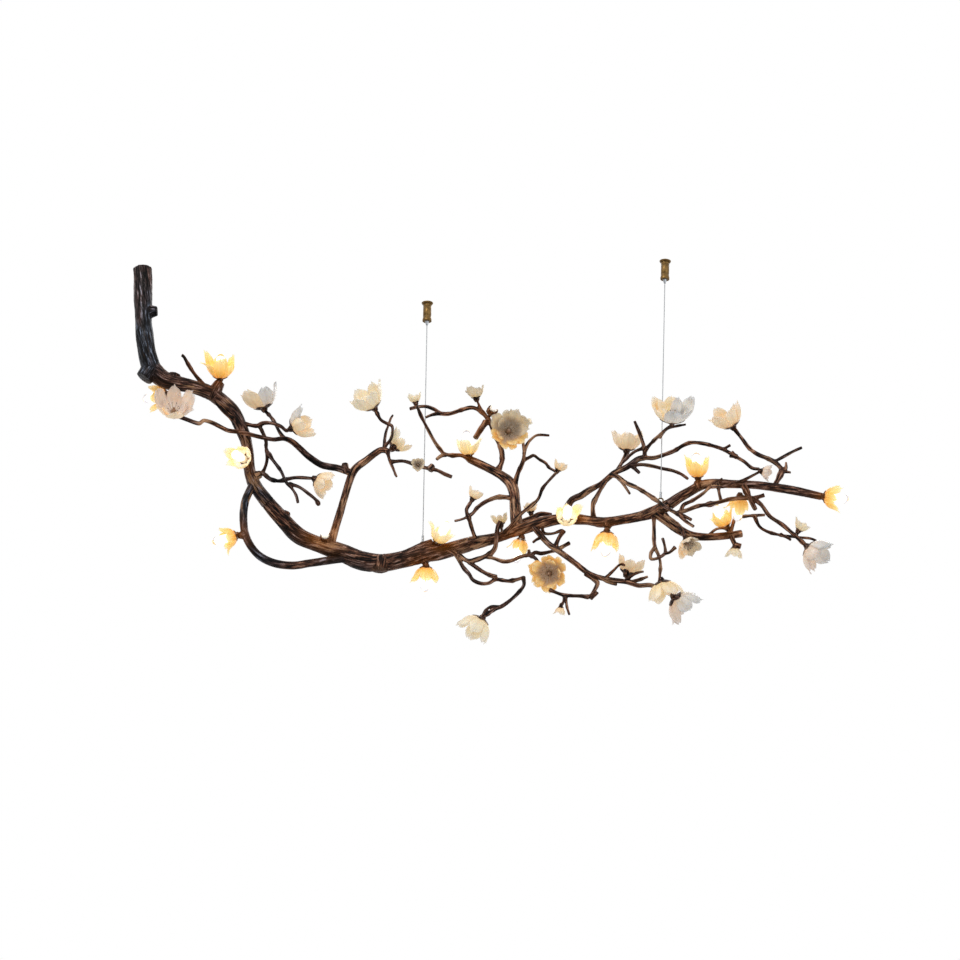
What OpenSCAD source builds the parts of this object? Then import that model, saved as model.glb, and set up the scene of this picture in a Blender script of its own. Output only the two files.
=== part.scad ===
// Branch chandelier: a cast bronze bough hung from the ceiling by its trunk and two steel
// wires, with porcelain blossoms, some of them round a capsule bulb.
// Origin: centre of the trunk's top on the ceiling. +Z up, +X along the bough, +Y away.

/* [Bough] */
// Length of the bough from the trunk to the far tip, which the whole pattern is scaled to
bough_len = 1358; // [1290:2:1480]
// Diameter that the trunk is drawn at, which scales every limb's thickness
trunk_d = 36; // [30:1:44]
// Sides of the tubes that form the limbs
limb_sides = 10; // [8:1:12]
// Sides of the tubes that form the twigs
twig_sides = 6; // [5:1:8]
// Thinnest twig
twig_min_d = 4; // [3:0.5:6]

/* [Trunk fixing] */
// Outer diameter of the steel bush in the trunk's top
bush_d = 20; // [16:1:24]
// Length of the steel bush
bush_len = 32; // [24:1:45]
// Bore of the bush, for a threaded rod
bush_bore_d = 10; // [8:1:12]
// Depth of the bush's bore
bush_bore_len = 25; // [15:1:30]

/* [Ceiling grippers] */
// Place of the left gripper along the bough, in mm of the unscaled pattern
left_gripper_x = 571; // [560:1:580]
// Place of the right gripper along the bough, in mm of the unscaled pattern
right_gripper_x = 1045; // [1035:1:1055]
// Diameter of the disc that lies on the ceiling
cap_d = 23; // [20:1:30]
// Thickness of the disc
cap_t = 3.5; // [2.5:0.5:6]
// Diameter of the boss that the barrel screws on to
cap_boss_d = 12; // [10:0.5:13]
// Length of the boss
cap_boss_len = 7; // [5:0.5:9]
// Screw hole through disc and boss
cap_screw_d = 4.2; // [3.2:0.1:5.2]
// Outer diameter of the barrel
barrel_d = 16.5; // [15.5:0.5:20]
// Diameter of the barrel's rounded lower lip
barrel_lip_d = 18.5; // [18:0.5:23]
// Length of the barrel below the disc
barrel_len = 38; // [36:1:50]
// Thickness of the barrel's floor
barrel_floor = 4; // [3:0.5:5]
// Diameter of the release nipple's stem
nipple_d = 7; // [6:0.5:8]
// How far the nipple's cone stands below the barrel
nipple_out = 8; // [6:0.5:12]
// How far the nipple pushes up to free the wire
nipple_travel = 2.5; // [1.5:0.5:3.5]
// Length of the grip collet
collet_len = 12; // [9:0.5:13]
// Wire of the collet's spring
spring_wire_d = 0.9; // [0.6:0.1:1.2]

/* [Suspension] */
// Diameter of the steel wire
wire_d = 2; // [1.5:0.1:2.5]
// Diameter of the crimped ferrule
ferrule_d = 5; // [4:0.5:7]
// Length of the ferrule
ferrule_len = 14; // [10:1:20]
// Inner diameter of the screw eye on the limb
eye_inner_d = 7; // [6:0.5:10]
// Thickness of the eye's rod
eye_rod_d = 3; // [2.5:0.5:4]

/* [Bulbs] */
// Glass diameter of the capsule bulb
bulb_d = 18; // [14:0.5:19]
// Length of the glass
bulb_len = 40; // [34:1:46]
// Diameter of the two pins
pin_d = 1.6; // [1.2:0.1:2]
// Length of the two pins
pin_len = 9.5; // [7:0.5:10]
// Distance between the pins' centres
pin_pitch = 9; // [7:0.5:10]
// Diameter of the ceramic lamp socket
socket_d = 16; // [14:0.5:17]
// Height of the ceramic lamp socket
socket_len = 11; // [10.5:0.5:14]

/* [Blossoms] */
// Thickness of a porcelain petal
petal_t = 1.5; // [1:0.1:2]
// Width of a petal, as an angle round the blossom
petal_angle = 78; // [60:1:84]
// Largest radius of the bronze cup's neck
cup_neck_r = 7; // [6:0.5:8]
// Thickness of the bronze cup's wall
cup_t = 1.8; // [1.2:0.1:2.5]

/* [Fits] */
// Gap between pieces that touch without being joined
seat_gap = 0.2; // [0.1:0.05:0.3]
// Play on the diameter of a pin or stem that slides
slide_play = 0.15; // [0.1:0.01:0.2]

/* [Hidden] */
$fn = 48;

bark = "#2b211c";
bark_red = "#5a3826";
bronze = "#6b5234";
steel = "#b9bdc2";
porcelain = "#f1e2cf";
glass = "#fff3d0";

// The routes are laid out on an upright board: [across, down, back, thickness], in mm. The
// board leans back by board_tilt and is turned by board_roll, as the bough hangs.
board_tilt = 25;
board_roll = 1.1;
board_zero = [285, 536];
// Length of the bough as the routes below draw it
pattern_len = 1358;
pattern_scale = bough_len / pattern_len;
limb_scale = trunk_d / 36;
turn_x = [cos(board_roll), sin(board_roll)];

// Board place to a point in space
function seat(p) =
    let(a = p[0] - board_zero[0], u = board_zero[1] - p[1])
    let(x = a * turn_x[0] - u * turn_x[1], v = a * turn_x[1] + u * turn_x[0])
    [x, p[2], (v + p[2] * sin(board_tilt)) / cos(board_tilt)] * pattern_scale;

// Direction on the board, turned from the right-hand side and leaned towards the front
function aim(turn, lean) =
    let(a = cos(turn) * cos(lean), u = sin(turn) * cos(lean), f = sin(lean))
    let(x = a * turn_x[0] - u * turn_x[1], v = a * turn_x[1] + u * turn_x[0])
    [x, -sin(board_tilt) * v - cos(board_tilt) * f, cos(board_tilt) * v - sin(board_tilt) * f];

function spline(a, b, c, d, t) =
    0.5 * (2 * b + (c - a) * t + (2 * a - 5 * b + 4 * c - d) * t * t
        + (3 * b - a - 3 * c + d) * t * t * t);

// Smooth curve through the points of a route, with steps between each two
function smooth(route, steps) =
    let(last = len(route) - 1)
    concat(
        [for (i = [0:last - 1]) for (j = [0:steps - 1])
            spline(route[max(i - 1, 0)], route[i], route[i + 1], route[min(i + 2, last)],
                j / steps)],
        [route[last]]);

function flat_gap(p, q) = norm([p[0] - q[0], p[1] - q[1]]);

// Point of a route that is nearest on the board
function nearest(route, p) =
    let(gaps = [for (q = route) flat_gap(p, q)], least = min(gaps))
    [for (i = [0:len(route) - 1]) if (gaps[i] == least) route[i]][0];

function running(points, i) =
    i == 0 ? 0 : running(points, i - 1) + flat_gap(points[i], points[i - 1]);

// Twig that grows out of a parent route: side is where it leaves the parent, from -1 for
// the front to 1 for the back, lean is how far it comes back over its length
function grow(parent, side, lean, d0, d1, points) =
    let(root = nearest(parent, points[0]), whole = running(points, len(points) - 1))
    [for (i = [0:len(points) - 1]) let(s = running(points, i) / whole)
        [points[i][0], points[i][1], root[2] + side * root[3] / 2 + lean * s,
            d0 + (d1 - d0) * s]];

// Tube along a route
module tube(route, sides) {
    p = [for (q = route) seat(q)];
    last = len(p) - 1;
    rings = [for (i = [0:last])
        let(t = p[min(i + 1, last)] - p[max(i - 1, 0)], w = t / norm(t))
        let(e = cross(w, [0, 1, 0.001]), u = e / norm(e), v = cross(w, u))
        let(r = max(route[i][3] * limb_scale, twig_min_d) / 2)
        for (k = [0:sides - 1])
            p[i] + r * (u * cos(360 * k / sides) + v * sin(360 * k / sides))];
    walls = [for (i = [0:last - 1]) for (k = [0:sides - 1])
        let(a = i * sides + k, b = i * sides + (k + 1) % sides)
        [a, a + sides, b + sides, b]];
    ends = [[for (k = [0:sides - 1]) k], [for (k = [sides - 1:-1:0]) last * sides + k]];
    polyhedron(points = rings, faces = concat(walls, ends), convexity = 8);
}

module tubes(routes, sides) {
    for (route = routes) tube(route, sides);
}

// Stub of a cut side shoot: from the limb's core to the board place, wider at the root
module stub(parent, to, fore, d0, d1) {
    core = nearest(parent, to);
    tube([[core[0], core[1], core[2], d0], [to[0], to[1], core[2] + fore, d1]], limb_sides);
}

// Keeps what it holds as one skin
module one_skin() {
    resize([0, 0, 0]) union() children();
}

// ---- Routes of the limbs ----
trunk_route = smooth([
    [285, 536, 0, 36], [286, 582, 0, 38], [287, 624, 0, 35], [288, 658, 1, 34],
    [294, 704, 4, 36], [303, 738, 10, 40]], 3);
left_route = smooth([
    [303, 738, 10, 40], [330, 760, 18, 34], [380, 772, 30, 29], [416, 784, 40, 28],
    [444, 802, 47, 29], [468, 826, 54, 28], [484, 860, 62, 26], [494, 892, 69, 23],
    [500, 944, 78, 23], [512, 974, 84, 27], [536, 1006, 94, 29]], 3);
middle_route = smooth([
    [536, 1006, 94, 29], [566, 1040, 103, 30], [598, 1072, 110, 33], [640, 1090, 117, 31],
    [680, 1104, 122, 36], [720, 1120, 127, 38], [760, 1126, 131, 36], [800, 1120, 135, 34],
    [844, 1110, 139, 34], [890, 1102, 137, 31], [940, 1088, 125, 29]], 3);
right_route = smooth([
    [940, 1088, 125, 29], [984, 1078, 108, 22], [1016, 1068, 92, 20], [1050, 1056, 76, 24],
    [1090, 1044, 58, 23], [1120, 1038, 42, 22], [1152, 1038, 26, 22], [1180, 1041, 8, 20],
    [1206, 1045, -10, 21], [1240, 1040, -32, 19], [1280, 1033, -58, 20],
    [1310, 1023, -76, 24], [1338, 1009, -87, 23]], 3);
upper_fork_route = smooth([
    [1338, 1009, -87, 23], [1356, 997, -93, 21], [1376, 985, -100, 20],
    [1412, 968, -110, 19], [1464, 968, -122, 17], [1520, 971, -130, 17],
    [1584, 980, -136, 18], [1643, 993, -140, 15]], 3);
lower_fork_route = smooth([
    [1312, 1026, -78, 20], [1336, 1043, -74, 20], [1356, 1058, -68, 19],
    [1380, 1070, -62, 17], [1410, 1074, -56, 15], [1446, 1072, -50, 15],
    [1484, 1067, -44, 15]], 3);
loop_route = smooth([
    [506, 968, 82, 17], [492, 998, 72, 16], [487, 1028, 64, 16], [489, 1062, 60, 16],
    [499, 1088, 60, 16], [518, 1111, 64, 16], [548, 1126, 72, 16], [582, 1131, 84, 16],
    [624, 1126, 98, 16], [664, 1120, 112, 16], [700, 1116, 124, 16]], 3);
bridge_route = smooth([
    [660, 1092, 118, 18], [671, 1055, 112, 16], [681, 1022, 106, 16], [691, 988, 100, 15],
    [701, 955, 94, 16], [712, 936, 90, 16], [732, 921, 84, 14], [748, 908, 78, 14],
    [762, 900, 74, 13], [776, 902, 70, 12]], 3);
left_limb_route = smooth([
    [704, 946, 93, 15], [674, 936, 88, 14], [644, 930, 82, 14], [614, 910, 74, 13],
    [588, 886, 66, 12], [568, 877, 60, 10], [548, 879, 54, 9], [520, 874, 44, 9],
    [480, 864, 30, 9], [456, 861, 20, 9], [430, 848, 8, 9], [408, 841, -2, 8],
    [398, 847, -8, 9], [376, 840, -18, 9], [345, 828, -34, 9]], 2);
crown_route = smooth([
    [1034, 1056, 84, 24], [1030, 1012, 88, 22], [1028, 985, 92, 22], [1020, 965, 96, 22],
    [1000, 949, 101, 18], [972, 934, 106, 17], [938, 918, 110, 15]], 3);
upper_right_route = smooth([
    [1124, 1036, 40, 14], [1142, 1002, 32, 14], [1161, 992, 24, 14], [1179, 980, 14, 13],
    [1198, 970, 4, 11], [1212, 960, -4, 12], [1230, 945, -14, 12], [1254, 934, -24, 12],
    [1275, 919, -33, 12], [1290, 915, -40, 12]], 2);
lower_long_route = smooth(grow(right_route, -0.5, -62, 13, 9, [
    [1068, 1054], [1086, 1076], [1100, 1090], [1116, 1101], [1134, 1114], [1154, 1129],
    [1176, 1146], [1202, 1156], [1232, 1161], [1254, 1164], [1277, 1171], [1298, 1170],
    [1318, 1176], [1344, 1190]]), 2);

// ---- Routes of the twigs, each from its root to its tip ----
elbow_twig = grow(left_route, -0.6, -30, 10, 7, [
    [466, 838], [450, 824], [434, 806], [421, 786], [404, 766], [389, 748], [376, 728],
    [368, 714], [363, 710]]);
perch_twig = grow(left_limb_route, 0, 22, 8, 7, [
    [568, 877], [558, 862], [550, 846], [540, 832], [530, 822]]);
shelf_twig = grow(left_route, 0, -28, 9, 7, [
    [484, 846], [512, 852], [528, 846], [546, 847], [562, 853], [572, 861], [580, 858]]);
drop_twig = grow(shelf_twig, 0, -4, 8, 6, [
    [518, 850], [526, 866], [532, 882], [533, 899], [545, 919], [562, 942], [572, 964],
    [583, 976], [592, 990], [596, 1006]]);
drop_side_twig = grow(drop_twig, 0, -14, 7, 7, [
    [578, 968], [598, 974], [618, 988], [632, 1000], [638, 1010]]);
tie_twig = grow(drop_twig, 0, 32, 7, 7, [
    [533, 899], [534, 920], [528, 940], [518, 956]]);
berry_twig = grow(left_route, 0, -30, 9, 7, [
    [504, 948], [524, 946], [540, 958], [558, 962], [575, 958], [595, 955], [628, 957]]);
fork_up_twig = grow(bridge_route, 0, 10, 7, 4.5, [
    [768, 900], [769, 882], [772, 864], [777, 850], [781, 838], [786, 830]]);
fork_back_twig = grow(bridge_route, 0, -14, 6, 7, [
    [770, 892], [782, 878], [785, 864], [784, 852], [776, 848], [762, 840], [755, 828],
    [750, 818]]);
arm_drop_twig = grow(bridge_route, 0, -8, 8, 4.5, [
    [775, 902], [779, 920], [786, 936], [791, 949], [794, 954]]);
arm_long_twig = grow(arm_drop_twig, 0, -4, 7, 8, [
    [781, 924], [803, 922], [818, 925], [836, 932], [858, 937], [875, 941], [889, 948],
    [904, 954]]);
arm_knot_twig = grow(arm_long_twig, 0, 0, 12, 12, [[858, 940], [866, 930]]);
crown_left_twig = grow(crown_route, -0.3, -56, 9, 6, [
    [940, 920], [923, 911], [905, 911], [889, 908], [883, 902], [869, 883], [856, 859],
    [844, 836], [834, 812]]);
crown_left_stub = grow(crown_left_twig, 0, -6, 8, 7, [[892, 909], [882, 912], [873, 919]]);
crown_rise_twig = grow(crown_route, 0, -24, 11, 9, [
    [994, 944], [1003, 926], [1004, 908], [1000, 892], [990, 870], [982, 850], [976, 836]]);
crown_reach_twig = grow(crown_rise_twig, 0, 24, 9, 7, [
    [978, 842], [968, 828], [956, 819], [942, 815], [922, 820], [901, 827], [883, 827],
    [869, 819], [852, 813], [834, 814], [819, 818]]);
crown_reach_side = grow(crown_reach_twig, 0, 4, 7, 6, [[883, 827], [866, 829], [851, 835]]);
bud_twig = grow(crown_reach_twig, 0, -6, 6, 5, [[962, 820], [957, 808], [953, 800]]);
cut_twig = grow(crown_rise_twig, 0, -10, 12, 12, [[972, 844], [962, 858], [951, 876]]);
crown_right_twig = grow(crown_route, 0, -36, 11, 6, [
    [1028, 974], [1036, 946], [1045, 926], [1048, 909], [1046, 884]]);
crown_right_side = grow(crown_right_twig, 0, -12, 7, 5, [
    [1048, 908], [1054, 889], [1064, 877], [1076, 870], [1099, 871]]);
crown_far_twig = grow(crown_right_twig, 0, -18, 7, 6, [
    [1046, 922], [1060, 914], [1068, 911], [1079, 919], [1091, 926], [1099, 936],
    [1114, 944]]);
crown_low_twig = grow(crown_route, 0, -34, 11, 5, [
    [1026, 996], [999, 994], [983, 998], [967, 1006], [954, 1016], [946, 1026],
    [934, 1034], [922, 1039], [909, 1042]]);
crown_low_side = grow(crown_low_twig, 0, -4, 8, 7, [
    [936, 1034], [933, 1020], [938, 1010], [944, 1001]]);
crown_prop_twig = grow(crown_low_twig, 0, 50, 8, 9, [
    [937, 1033], [940, 1044], [944, 1058], [951, 1078]]);
cross_twig = grow(right_route, -0.9, -50, 9, 6, [
    [1010, 1066], [1030, 1042], [1044, 1026], [1064, 1010], [1077, 997], [1085, 977],
    [1099, 960], [1113, 945]]);
back_strand = grow(right_route, 0.6, 14, 14, 9, [
    [1012, 1066], [1040, 1046], [1064, 1036], [1082, 1028], [1104, 1030]]);
left_strand = grow(middle_route, -0.5, 8, 12, 14, [
    [786, 1116], [815, 1104], [842, 1092], [865, 1084]]);
under_twig = grow(middle_route, -0.8, -58, 10, 10, [
    [896, 1098], [916, 1110], [936, 1122], [954, 1119], [970, 1113], [980, 1108],
    [990, 1096], [993, 1076], [995, 1058], [1001, 1042]]);
under_long_twig = grow(under_twig, 0, -26, 9, 7, [
    [912, 1108], [926, 1134], [938, 1148], [946, 1160], [962, 1167], [978, 1166],
    [992, 1159], [1016, 1162], [1034, 1159], [1048, 1154]]);
under_short_twig = grow(under_twig, 0, -12, 8, 9, [
    [938, 1124], [960, 1140], [979, 1150], [994, 1154]]);
under_right_twig = grow(under_twig, 0, -42, 8, 7, [
    [972, 1112], [988, 1117], [1007, 1123], [1024, 1121], [1040, 1114], [1056, 1111],
    [1070, 1116], [1080, 1130]]);
under_right_stub = grow(under_right_twig, 0, 4, 8, 7, [[1058, 1111], [1058, 1100]]);
copper_twig = grow(under_right_twig, 0, 20, 9, 7, [
    [1062, 1113], [1070, 1105], [1082, 1107], [1098, 1104], [1114, 1100]]);
hang_twig = grow(under_long_twig, 0, -16, 8, 8, [
    [1046, 1154], [1048, 1170], [1036, 1186], [1020, 1201], [1003, 1213], [987, 1220],
    [966, 1234]]);
hang_side = grow(hang_twig, 0, -6, 6, 6, [[999, 1214], [983, 1213], [971, 1221], [965, 1232]]);
return_twig = grow(lower_long_route, 0, -26, 9, 7, [
    [1172, 1146], [1188, 1160], [1195, 1167], [1188, 1182], [1179, 1193], [1161, 1192],
    [1136, 1191], [1120, 1188], [1098, 1179]]);
return_spur = grow(return_twig, 0, 4, 8, 6, [[1181, 1196], [1190, 1190], [1196, 1185]]);
bud_drop_twig = grow(return_twig, 0, -4, 7, 6, [[1129, 1190], [1127, 1203], [1122, 1211]]);
bare_drop_twig = grow(return_twig, 0, 6, 7, 5, [[1131, 1192], [1134, 1214], [1139, 1230]]);
near_flower_twig = grow(right_route, 0, 6, 7, 6, [
    [1084, 1050], [1088, 1066], [1106, 1067], [1124, 1060]]);
knee_twig = grow(lower_long_route, 0, -10, 9, 9, [[1110, 1094], [1118, 1076], [1128, 1060]]);
blunt_twig = grow(lower_long_route, 0, 8, 8, 9, [[1114, 1101], [1126, 1093], [1139, 1086]]);
nail_twig = grow(lower_long_route, 0, -8, 7, 6, [[1083, 1074], [1072, 1080], [1066, 1085]]);
prop_twig = grow(right_route, 0, -8, 10, 8, [
    [1187, 1036], [1186, 1010], [1194, 992], [1204, 974], [1212, 962]]);
arch_twig = grow(upper_right_route, 0, -62, 9, 7, [
    [1288, 915], [1306, 916], [1324, 911], [1348, 902], [1366, 891], [1383, 885],
    [1406, 887], [1430, 893], [1447, 899], [1468, 911], [1488, 923], [1504, 936],
    [1519, 938]]);
arch_spur = grow(arch_twig, 0, -3, 7, 6, [[1446, 899], [1461, 890]]);
arch_knot = grow(arch_twig, 0, -2, 12, 11, [[1462, 908], [1474, 914]]);
horn_twig = grow(upper_right_route, 0, -20, 9, 6, [
    [1289, 915], [1289, 899], [1282, 874], [1269, 842]]);
blossom_twig = grow(horn_twig, 0, -92, 8, 6, [
    [1289, 902], [1300, 889], [1314, 875], [1330, 860], [1343, 850]]);
blossom_side = grow(blossom_twig, 0, -8, 6, 5, [[1318, 876], [1334, 858], [1354, 852],
    [1372, 849]]);
sling_twig = grow(horn_twig, 0, 14, 7, 6, [
    [1288, 896], [1270, 903], [1254, 916], [1240, 932]]);
peach_twig = grow(upper_right_route, 0, 16, 8, 7, [
    [1232, 945], [1244, 924], [1253, 906]]);
amber_twig = grow(upper_right_route, -0.3, -38, 8, 6, [
    [1262, 932], [1281, 929], [1304, 932], [1324, 937], [1344, 941], [1362, 948],
    [1376, 958]]);
amber_spur = grow(amber_twig, 0, -4, 8, 7, [[1264, 932], [1279, 946]]);
dive_twig = grow(upper_right_route, -0.3, -142, 10, 7, [
    [1222, 950], [1234, 953], [1253, 966], [1275, 976], [1296, 989], [1316, 1003],
    [1334, 1016], [1355, 1028], [1371, 1042], [1387, 1053]]);
dive_side = grow(dive_twig, 0, -10, 7, 5, [[1238, 957], [1248, 970], [1260, 988]]);
dive_split = grow(dive_twig, 0, -8, 8, 7, [[1356, 1028], [1372, 1034], [1383, 1040]]);
shelf_right_twig = grow(dive_twig, 0, -12, 8, 9, [
    [1356, 1026], [1375, 1020], [1396, 1012], [1416, 1009], [1440, 1004], [1462, 998],
    [1492, 996], [1508, 996], [1529, 990]]);
far_twig = grow(shelf_right_twig, 0, -16, 9, 8, [
    [1506, 997], [1523, 1010], [1539, 1032], [1564, 1049], [1584, 1066], [1600, 1080],
    [1612, 1091]]);
ribbon_twig = grow(shelf_right_twig, 0, -4, 8, 6, [
    [1362, 1023], [1367, 1010], [1385, 1001], [1406, 987], [1418, 976], [1433, 966],
    [1445, 957]]);
ribbon_end = grow(ribbon_twig, 0, -10, 7, 6, [
    [1424, 973], [1447, 973], [1471, 966], [1492, 958], [1520, 943]]);
ribbon_tie = grow(ribbon_twig, 0, -2, 7, 7, [[1436, 968], [1438, 984], [1442, 1002]]);
down_spur = grow(upper_fork_route, -0.4, -10, 12, 9, [[1488, 972], [1500, 998], [1511, 1019]]);
claw_twig = grow(upper_fork_route, 0.3, 34, 11, 7, [
    [1548, 974], [1563, 944], [1559, 933], [1547, 923], [1533, 916], [1516, 909],
    [1499, 897], [1486, 880], [1468, 857]]);
claw_side = grow(claw_twig, 0, 10, 7, 6, [[1548, 924], [1584, 904], [1604, 895]]);
claw_spur = grow(claw_twig, 0, 0, 9, 5, [[1560, 941], [1571, 938], [1572, 924]]);
claw_tip = grow(claw_twig, 0, 0, 8, 5, [[1560, 942], [1582, 945]]);
plumb_twig = grow(right_route, 0, 18, 9, 6, [
    [1308, 1028], [1308, 1062], [1309, 1090], [1318, 1113], [1321, 1131], [1319, 1158]]);
plumb_loop = grow(plumb_twig, 0, -6, 7, 6, [
    [1309, 1096], [1302, 1106], [1302, 1118], [1316, 1116], [1330, 1106], [1329, 1090],
    [1325, 1076]]);
plumb_side = grow(plumb_loop, 0, -4, 6, 7, [[1328, 1107], [1339, 1105], [1351, 1094]]);
grey_twig = grow(lower_fork_route, -0.9, -18, 9, 7, [
    [1330, 1030], [1346, 1042], [1361, 1054], [1367, 1068], [1370, 1080]]);
hook_twig = grow(lower_fork_route, 0, 16, 8, 6, [
    [1460, 1070], [1466, 1048], [1471, 1036], [1487, 1033], [1507, 1031], [1530, 1030]]);
trail_twig = grow(hook_twig, 0, 14, 7, 5, [
    [1509, 1032], [1519, 1053], [1537, 1064], [1560, 1070], [1582, 1073], [1601, 1075],
    [1621, 1077], [1633, 1082]]);
trail_split = grow(trail_twig, 0, -4, 6, 6, [[1560, 1069], [1572, 1074], [1582, 1080]]);
trail_bud = grow(trail_twig, 0, 2, 6, 5, [[1592, 1074], [1596, 1064]]);
foot_twig = grow(lower_fork_route, -0.3, -2, 9, 9, [[1462, 1072], [1470, 1090]]);
foot_knob = grow(foot_twig, 0, 0, 9, 11, [[1470, 1090], [1482, 1093]]);
thread_twig = grow(lower_fork_route, 0, -2, 6, 5, [[1416, 1072], [1433, 1058], [1454, 1057]]);
step_twig = grow(lower_long_route, 0, -16, 7, 5, [
    [1210, 1157], [1226, 1142], [1240, 1129], [1250, 1131]]);
comb_twig = grow(lower_long_route, 0, -26, 7, 5, [[1250, 1163], [1269, 1148], [1287, 1143]]);
comb_low_twig = grow(lower_long_route, 0, -12, 8, 6, [[1258, 1165], [1277, 1160], [1296, 1153]]);
nip_twig = grow(lower_long_route, -0.4, -4, 7, 6, [[1200, 1155], [1218, 1165], [1234, 1169]]);

// ---- Blossoms: [board place, distance back from the parent, turn, lean, radius, opening,
// 1 with a bulb]. The radius is that of the ball that the petals lie on, and the opening
// is the angle from its base to the petals' tips. ----
function bloom(parent, back, at, turn, lean, r, open, lit) =
    let(root = nearest(parent, at))
    [seat([at[0], at[1], root[2] + back]), aim(turn, lean), r * pattern_scale, open, lit,
        seat(root)];

elbow_blooms = [
    bloom(left_route, 0, [440, 760], 88, 12, 28, 114, 1),
    bloom(left_route, 34, [338, 788], 192, -10, 24, 104, 1),
    bloom(left_limb_route, 0, [347, 828], 86, 46, 40, 96, 0),
    bloom(left_route, -16, [490, 920], 150, 62, 24, 104, 1),
    bloom(loop_route, 0, [476, 1070], 196, 8, 21, 108, 1)];
left_blooms = [
    bloom(berry_twig, 0, [628, 957], -28, 12, 28, 106, 0),
    bloom(shelf_twig, 0, [581, 858], 26, 10, 34, 102, 0),
    bloom(perch_twig, 0, [529, 820], 108, 0, 37, 104, 0),
    bloom(fork_back_twig, 0, [750, 818], 124, 12, 36, 104, 0),
    bloom(bridge_route, 32, [784, 898], 46, -16, 26, 98, 0),
    bloom(arm_long_twig, -6, [836, 931], 90, 78, 15, 84, 0)];
crown_blooms = [
    bloom(crown_route, 0, [938, 914], 96, 4, 22, 104, 1),
    bloom(crown_rise_twig, -22, [1016, 864], 60, 76, 44, 62, 0),
    bloom(bud_twig, 0, [953, 799], 100, 0, 18, 112, 0),
    bloom(crown_reach_twig, 6, [832, 808], 104, -4, 14, 112, 0),
    bloom(crown_low_side, 0, [944, 1000], 62, 0, 15, 110, 0),
    bloom(crown_right_twig, 16, [1048, 850], 60, 10, 15, 80, 0),
    bloom(crown_far_twig, 0, [1114, 943], 60, 0, 14, 112, 0)];
middle_blooms = [
    bloom(middle_route, 0, [852, 1130], 268, 6, 25, 98, 1),
    bloom(middle_route, -12, [872, 1086], 60, 20, 21, 108, 1),
    bloom(under_right_twig, -14, [1100, 1146], 200, 80, 41, 64, 0),
    bloom(right_route, -14, [1132, 1042], 80, 60, 24, 100, 1),
    bloom(right_route, 4, [1044, 1074], 255, -4, 18, 104, 1),
    bloom(hang_twig, 0, [966, 1234], 236, 8, 36, 104, 0),
    bloom(bud_drop_twig, 0, [1122, 1211], 262, 0, 11, 114, 0),
    bloom(right_route, 26, [1002, 1052], 100, -20, 16, 104, 0),
    bloom(back_strand, 8, [1062, 1028], 96, -10, 14, 108, 0)];
right_blooms = [
    bloom(right_route, 0, [1214, 1060], 266, 6, 26, 100, 1),
    bloom(peach_twig, 0, [1253, 904], 86, 4, 32, 106, 0),
    bloom(blossom_twig, 0, [1344, 846], 86, 24, 47, 88, 0),
    bloom(upper_fork_route, 0, [1396, 958], 94, 10, 23, 114, 1),
    bloom(grey_twig, 0, [1371, 1082], 300, 40, 28, 80, 0),
    bloom(lower_long_route, 20, [1252, 1150], 68, -14, 28, 100, 0),
    bloom(plumb_twig, 0, [1322, 1159], 286, 4, 36, 96, 0),
    bloom(lower_long_route, 0, [1346, 1192], -44, -8, 38, 100, 0)];
far_right_blooms = [
    bloom(claw_twig, 0, [1467, 856], 120, 8, 34, 106, 0),
    bloom(ribbon_end, 0, [1521, 942], -12, 8, 16, 104, 0),
    bloom(upper_fork_route, 0, [1644, 993], -6, 4, 24, 106, 1),
    bloom(shelf_right_twig, 18, [1480, 990], 264, -12, 21, 102, 1),
    bloom(lower_fork_route, 4, [1454, 1056], 118, 6, 21, 106, 1),
    bloom(trail_bud, 0, [1596, 1063], 58, 4, 16, 106, 0),
    bloom(far_twig, 0, [1613, 1092], -40, 14, 37, 98, 0),
    bloom(foot_twig, 0, [1470, 1092], 266, 4, 16, 108, 0)];
// Bulbs that stand in bark alone, with no petals
bare_lamps = [
    bloom(middle_route, -10, [652, 1079], 100, 50, 0, 0, 1),
    bloom(crown_rise_twig, -4, [982, 826], 60, 40, 0, 0, 1)];
blooms = concat(elbow_blooms, left_blooms, crown_blooms, middle_blooms, right_blooms,
    far_right_blooms, bare_lamps);
lamps = [for (f = blooms) if (f[4] == 1) f];

// Blossoms along the upper edge whose petals close in most: they share a piece of their own
upper_blooms = [crown_blooms[0], right_blooms[3], far_right_blooms[0]];

function without(list, i) = [for (k = [0:len(list) - 1]) if (k != i) list[k]];

// Heights in a blossom, above the place where it sits on its twig
cup_foot = -5;
ball_z = 3;
glass_z = ball_z + socket_len + seat_gap;
// Gap between a petal's foot and the socket or pistil in the middle
core_gap = 1.7;
// How far the cup reaches up round the petals, as an angle from the blossom's base
cup_angle = 34;
// Opening of the inner petals, as a share of the outer ones'
inner_share = 0.94;

module placed(f) {
    d = f[1];
    translate(f[0]) rotate([0, acos(d[2]), atan2(d[1], d[0])]) children();
}

module rod(a, b, d) {
    w = b - a;
    h = norm(w);
    translate(a) rotate([0, acos(w[2] / h), atan2(w[1], w[0])]) cylinder(h = h, d = d);
}

// One petal: the part of a thin ball that lies inside an egg-shaped outline
module petal(r, base_r, open) {
    start = asin(base_r / r);
    middle = (start + open) / 2;
    reach = r * sin((open - start) / 2);
    width = r * sin(middle) * sin(petal_angle / 2);
    outline = [for (a = [0:30:330])
        [-reach * sin(a), width * cos(a) * (1 + 0.2 * sin(a))]];
    intersection() {
        difference() {
            sphere(r);
            sphere(r - petal_t);
        }
        rotate([0, 180 - middle, 0]) translate([0, 0, r * 0.25])
            linear_extrude(r) polygon(outline);
    }
}

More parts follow.
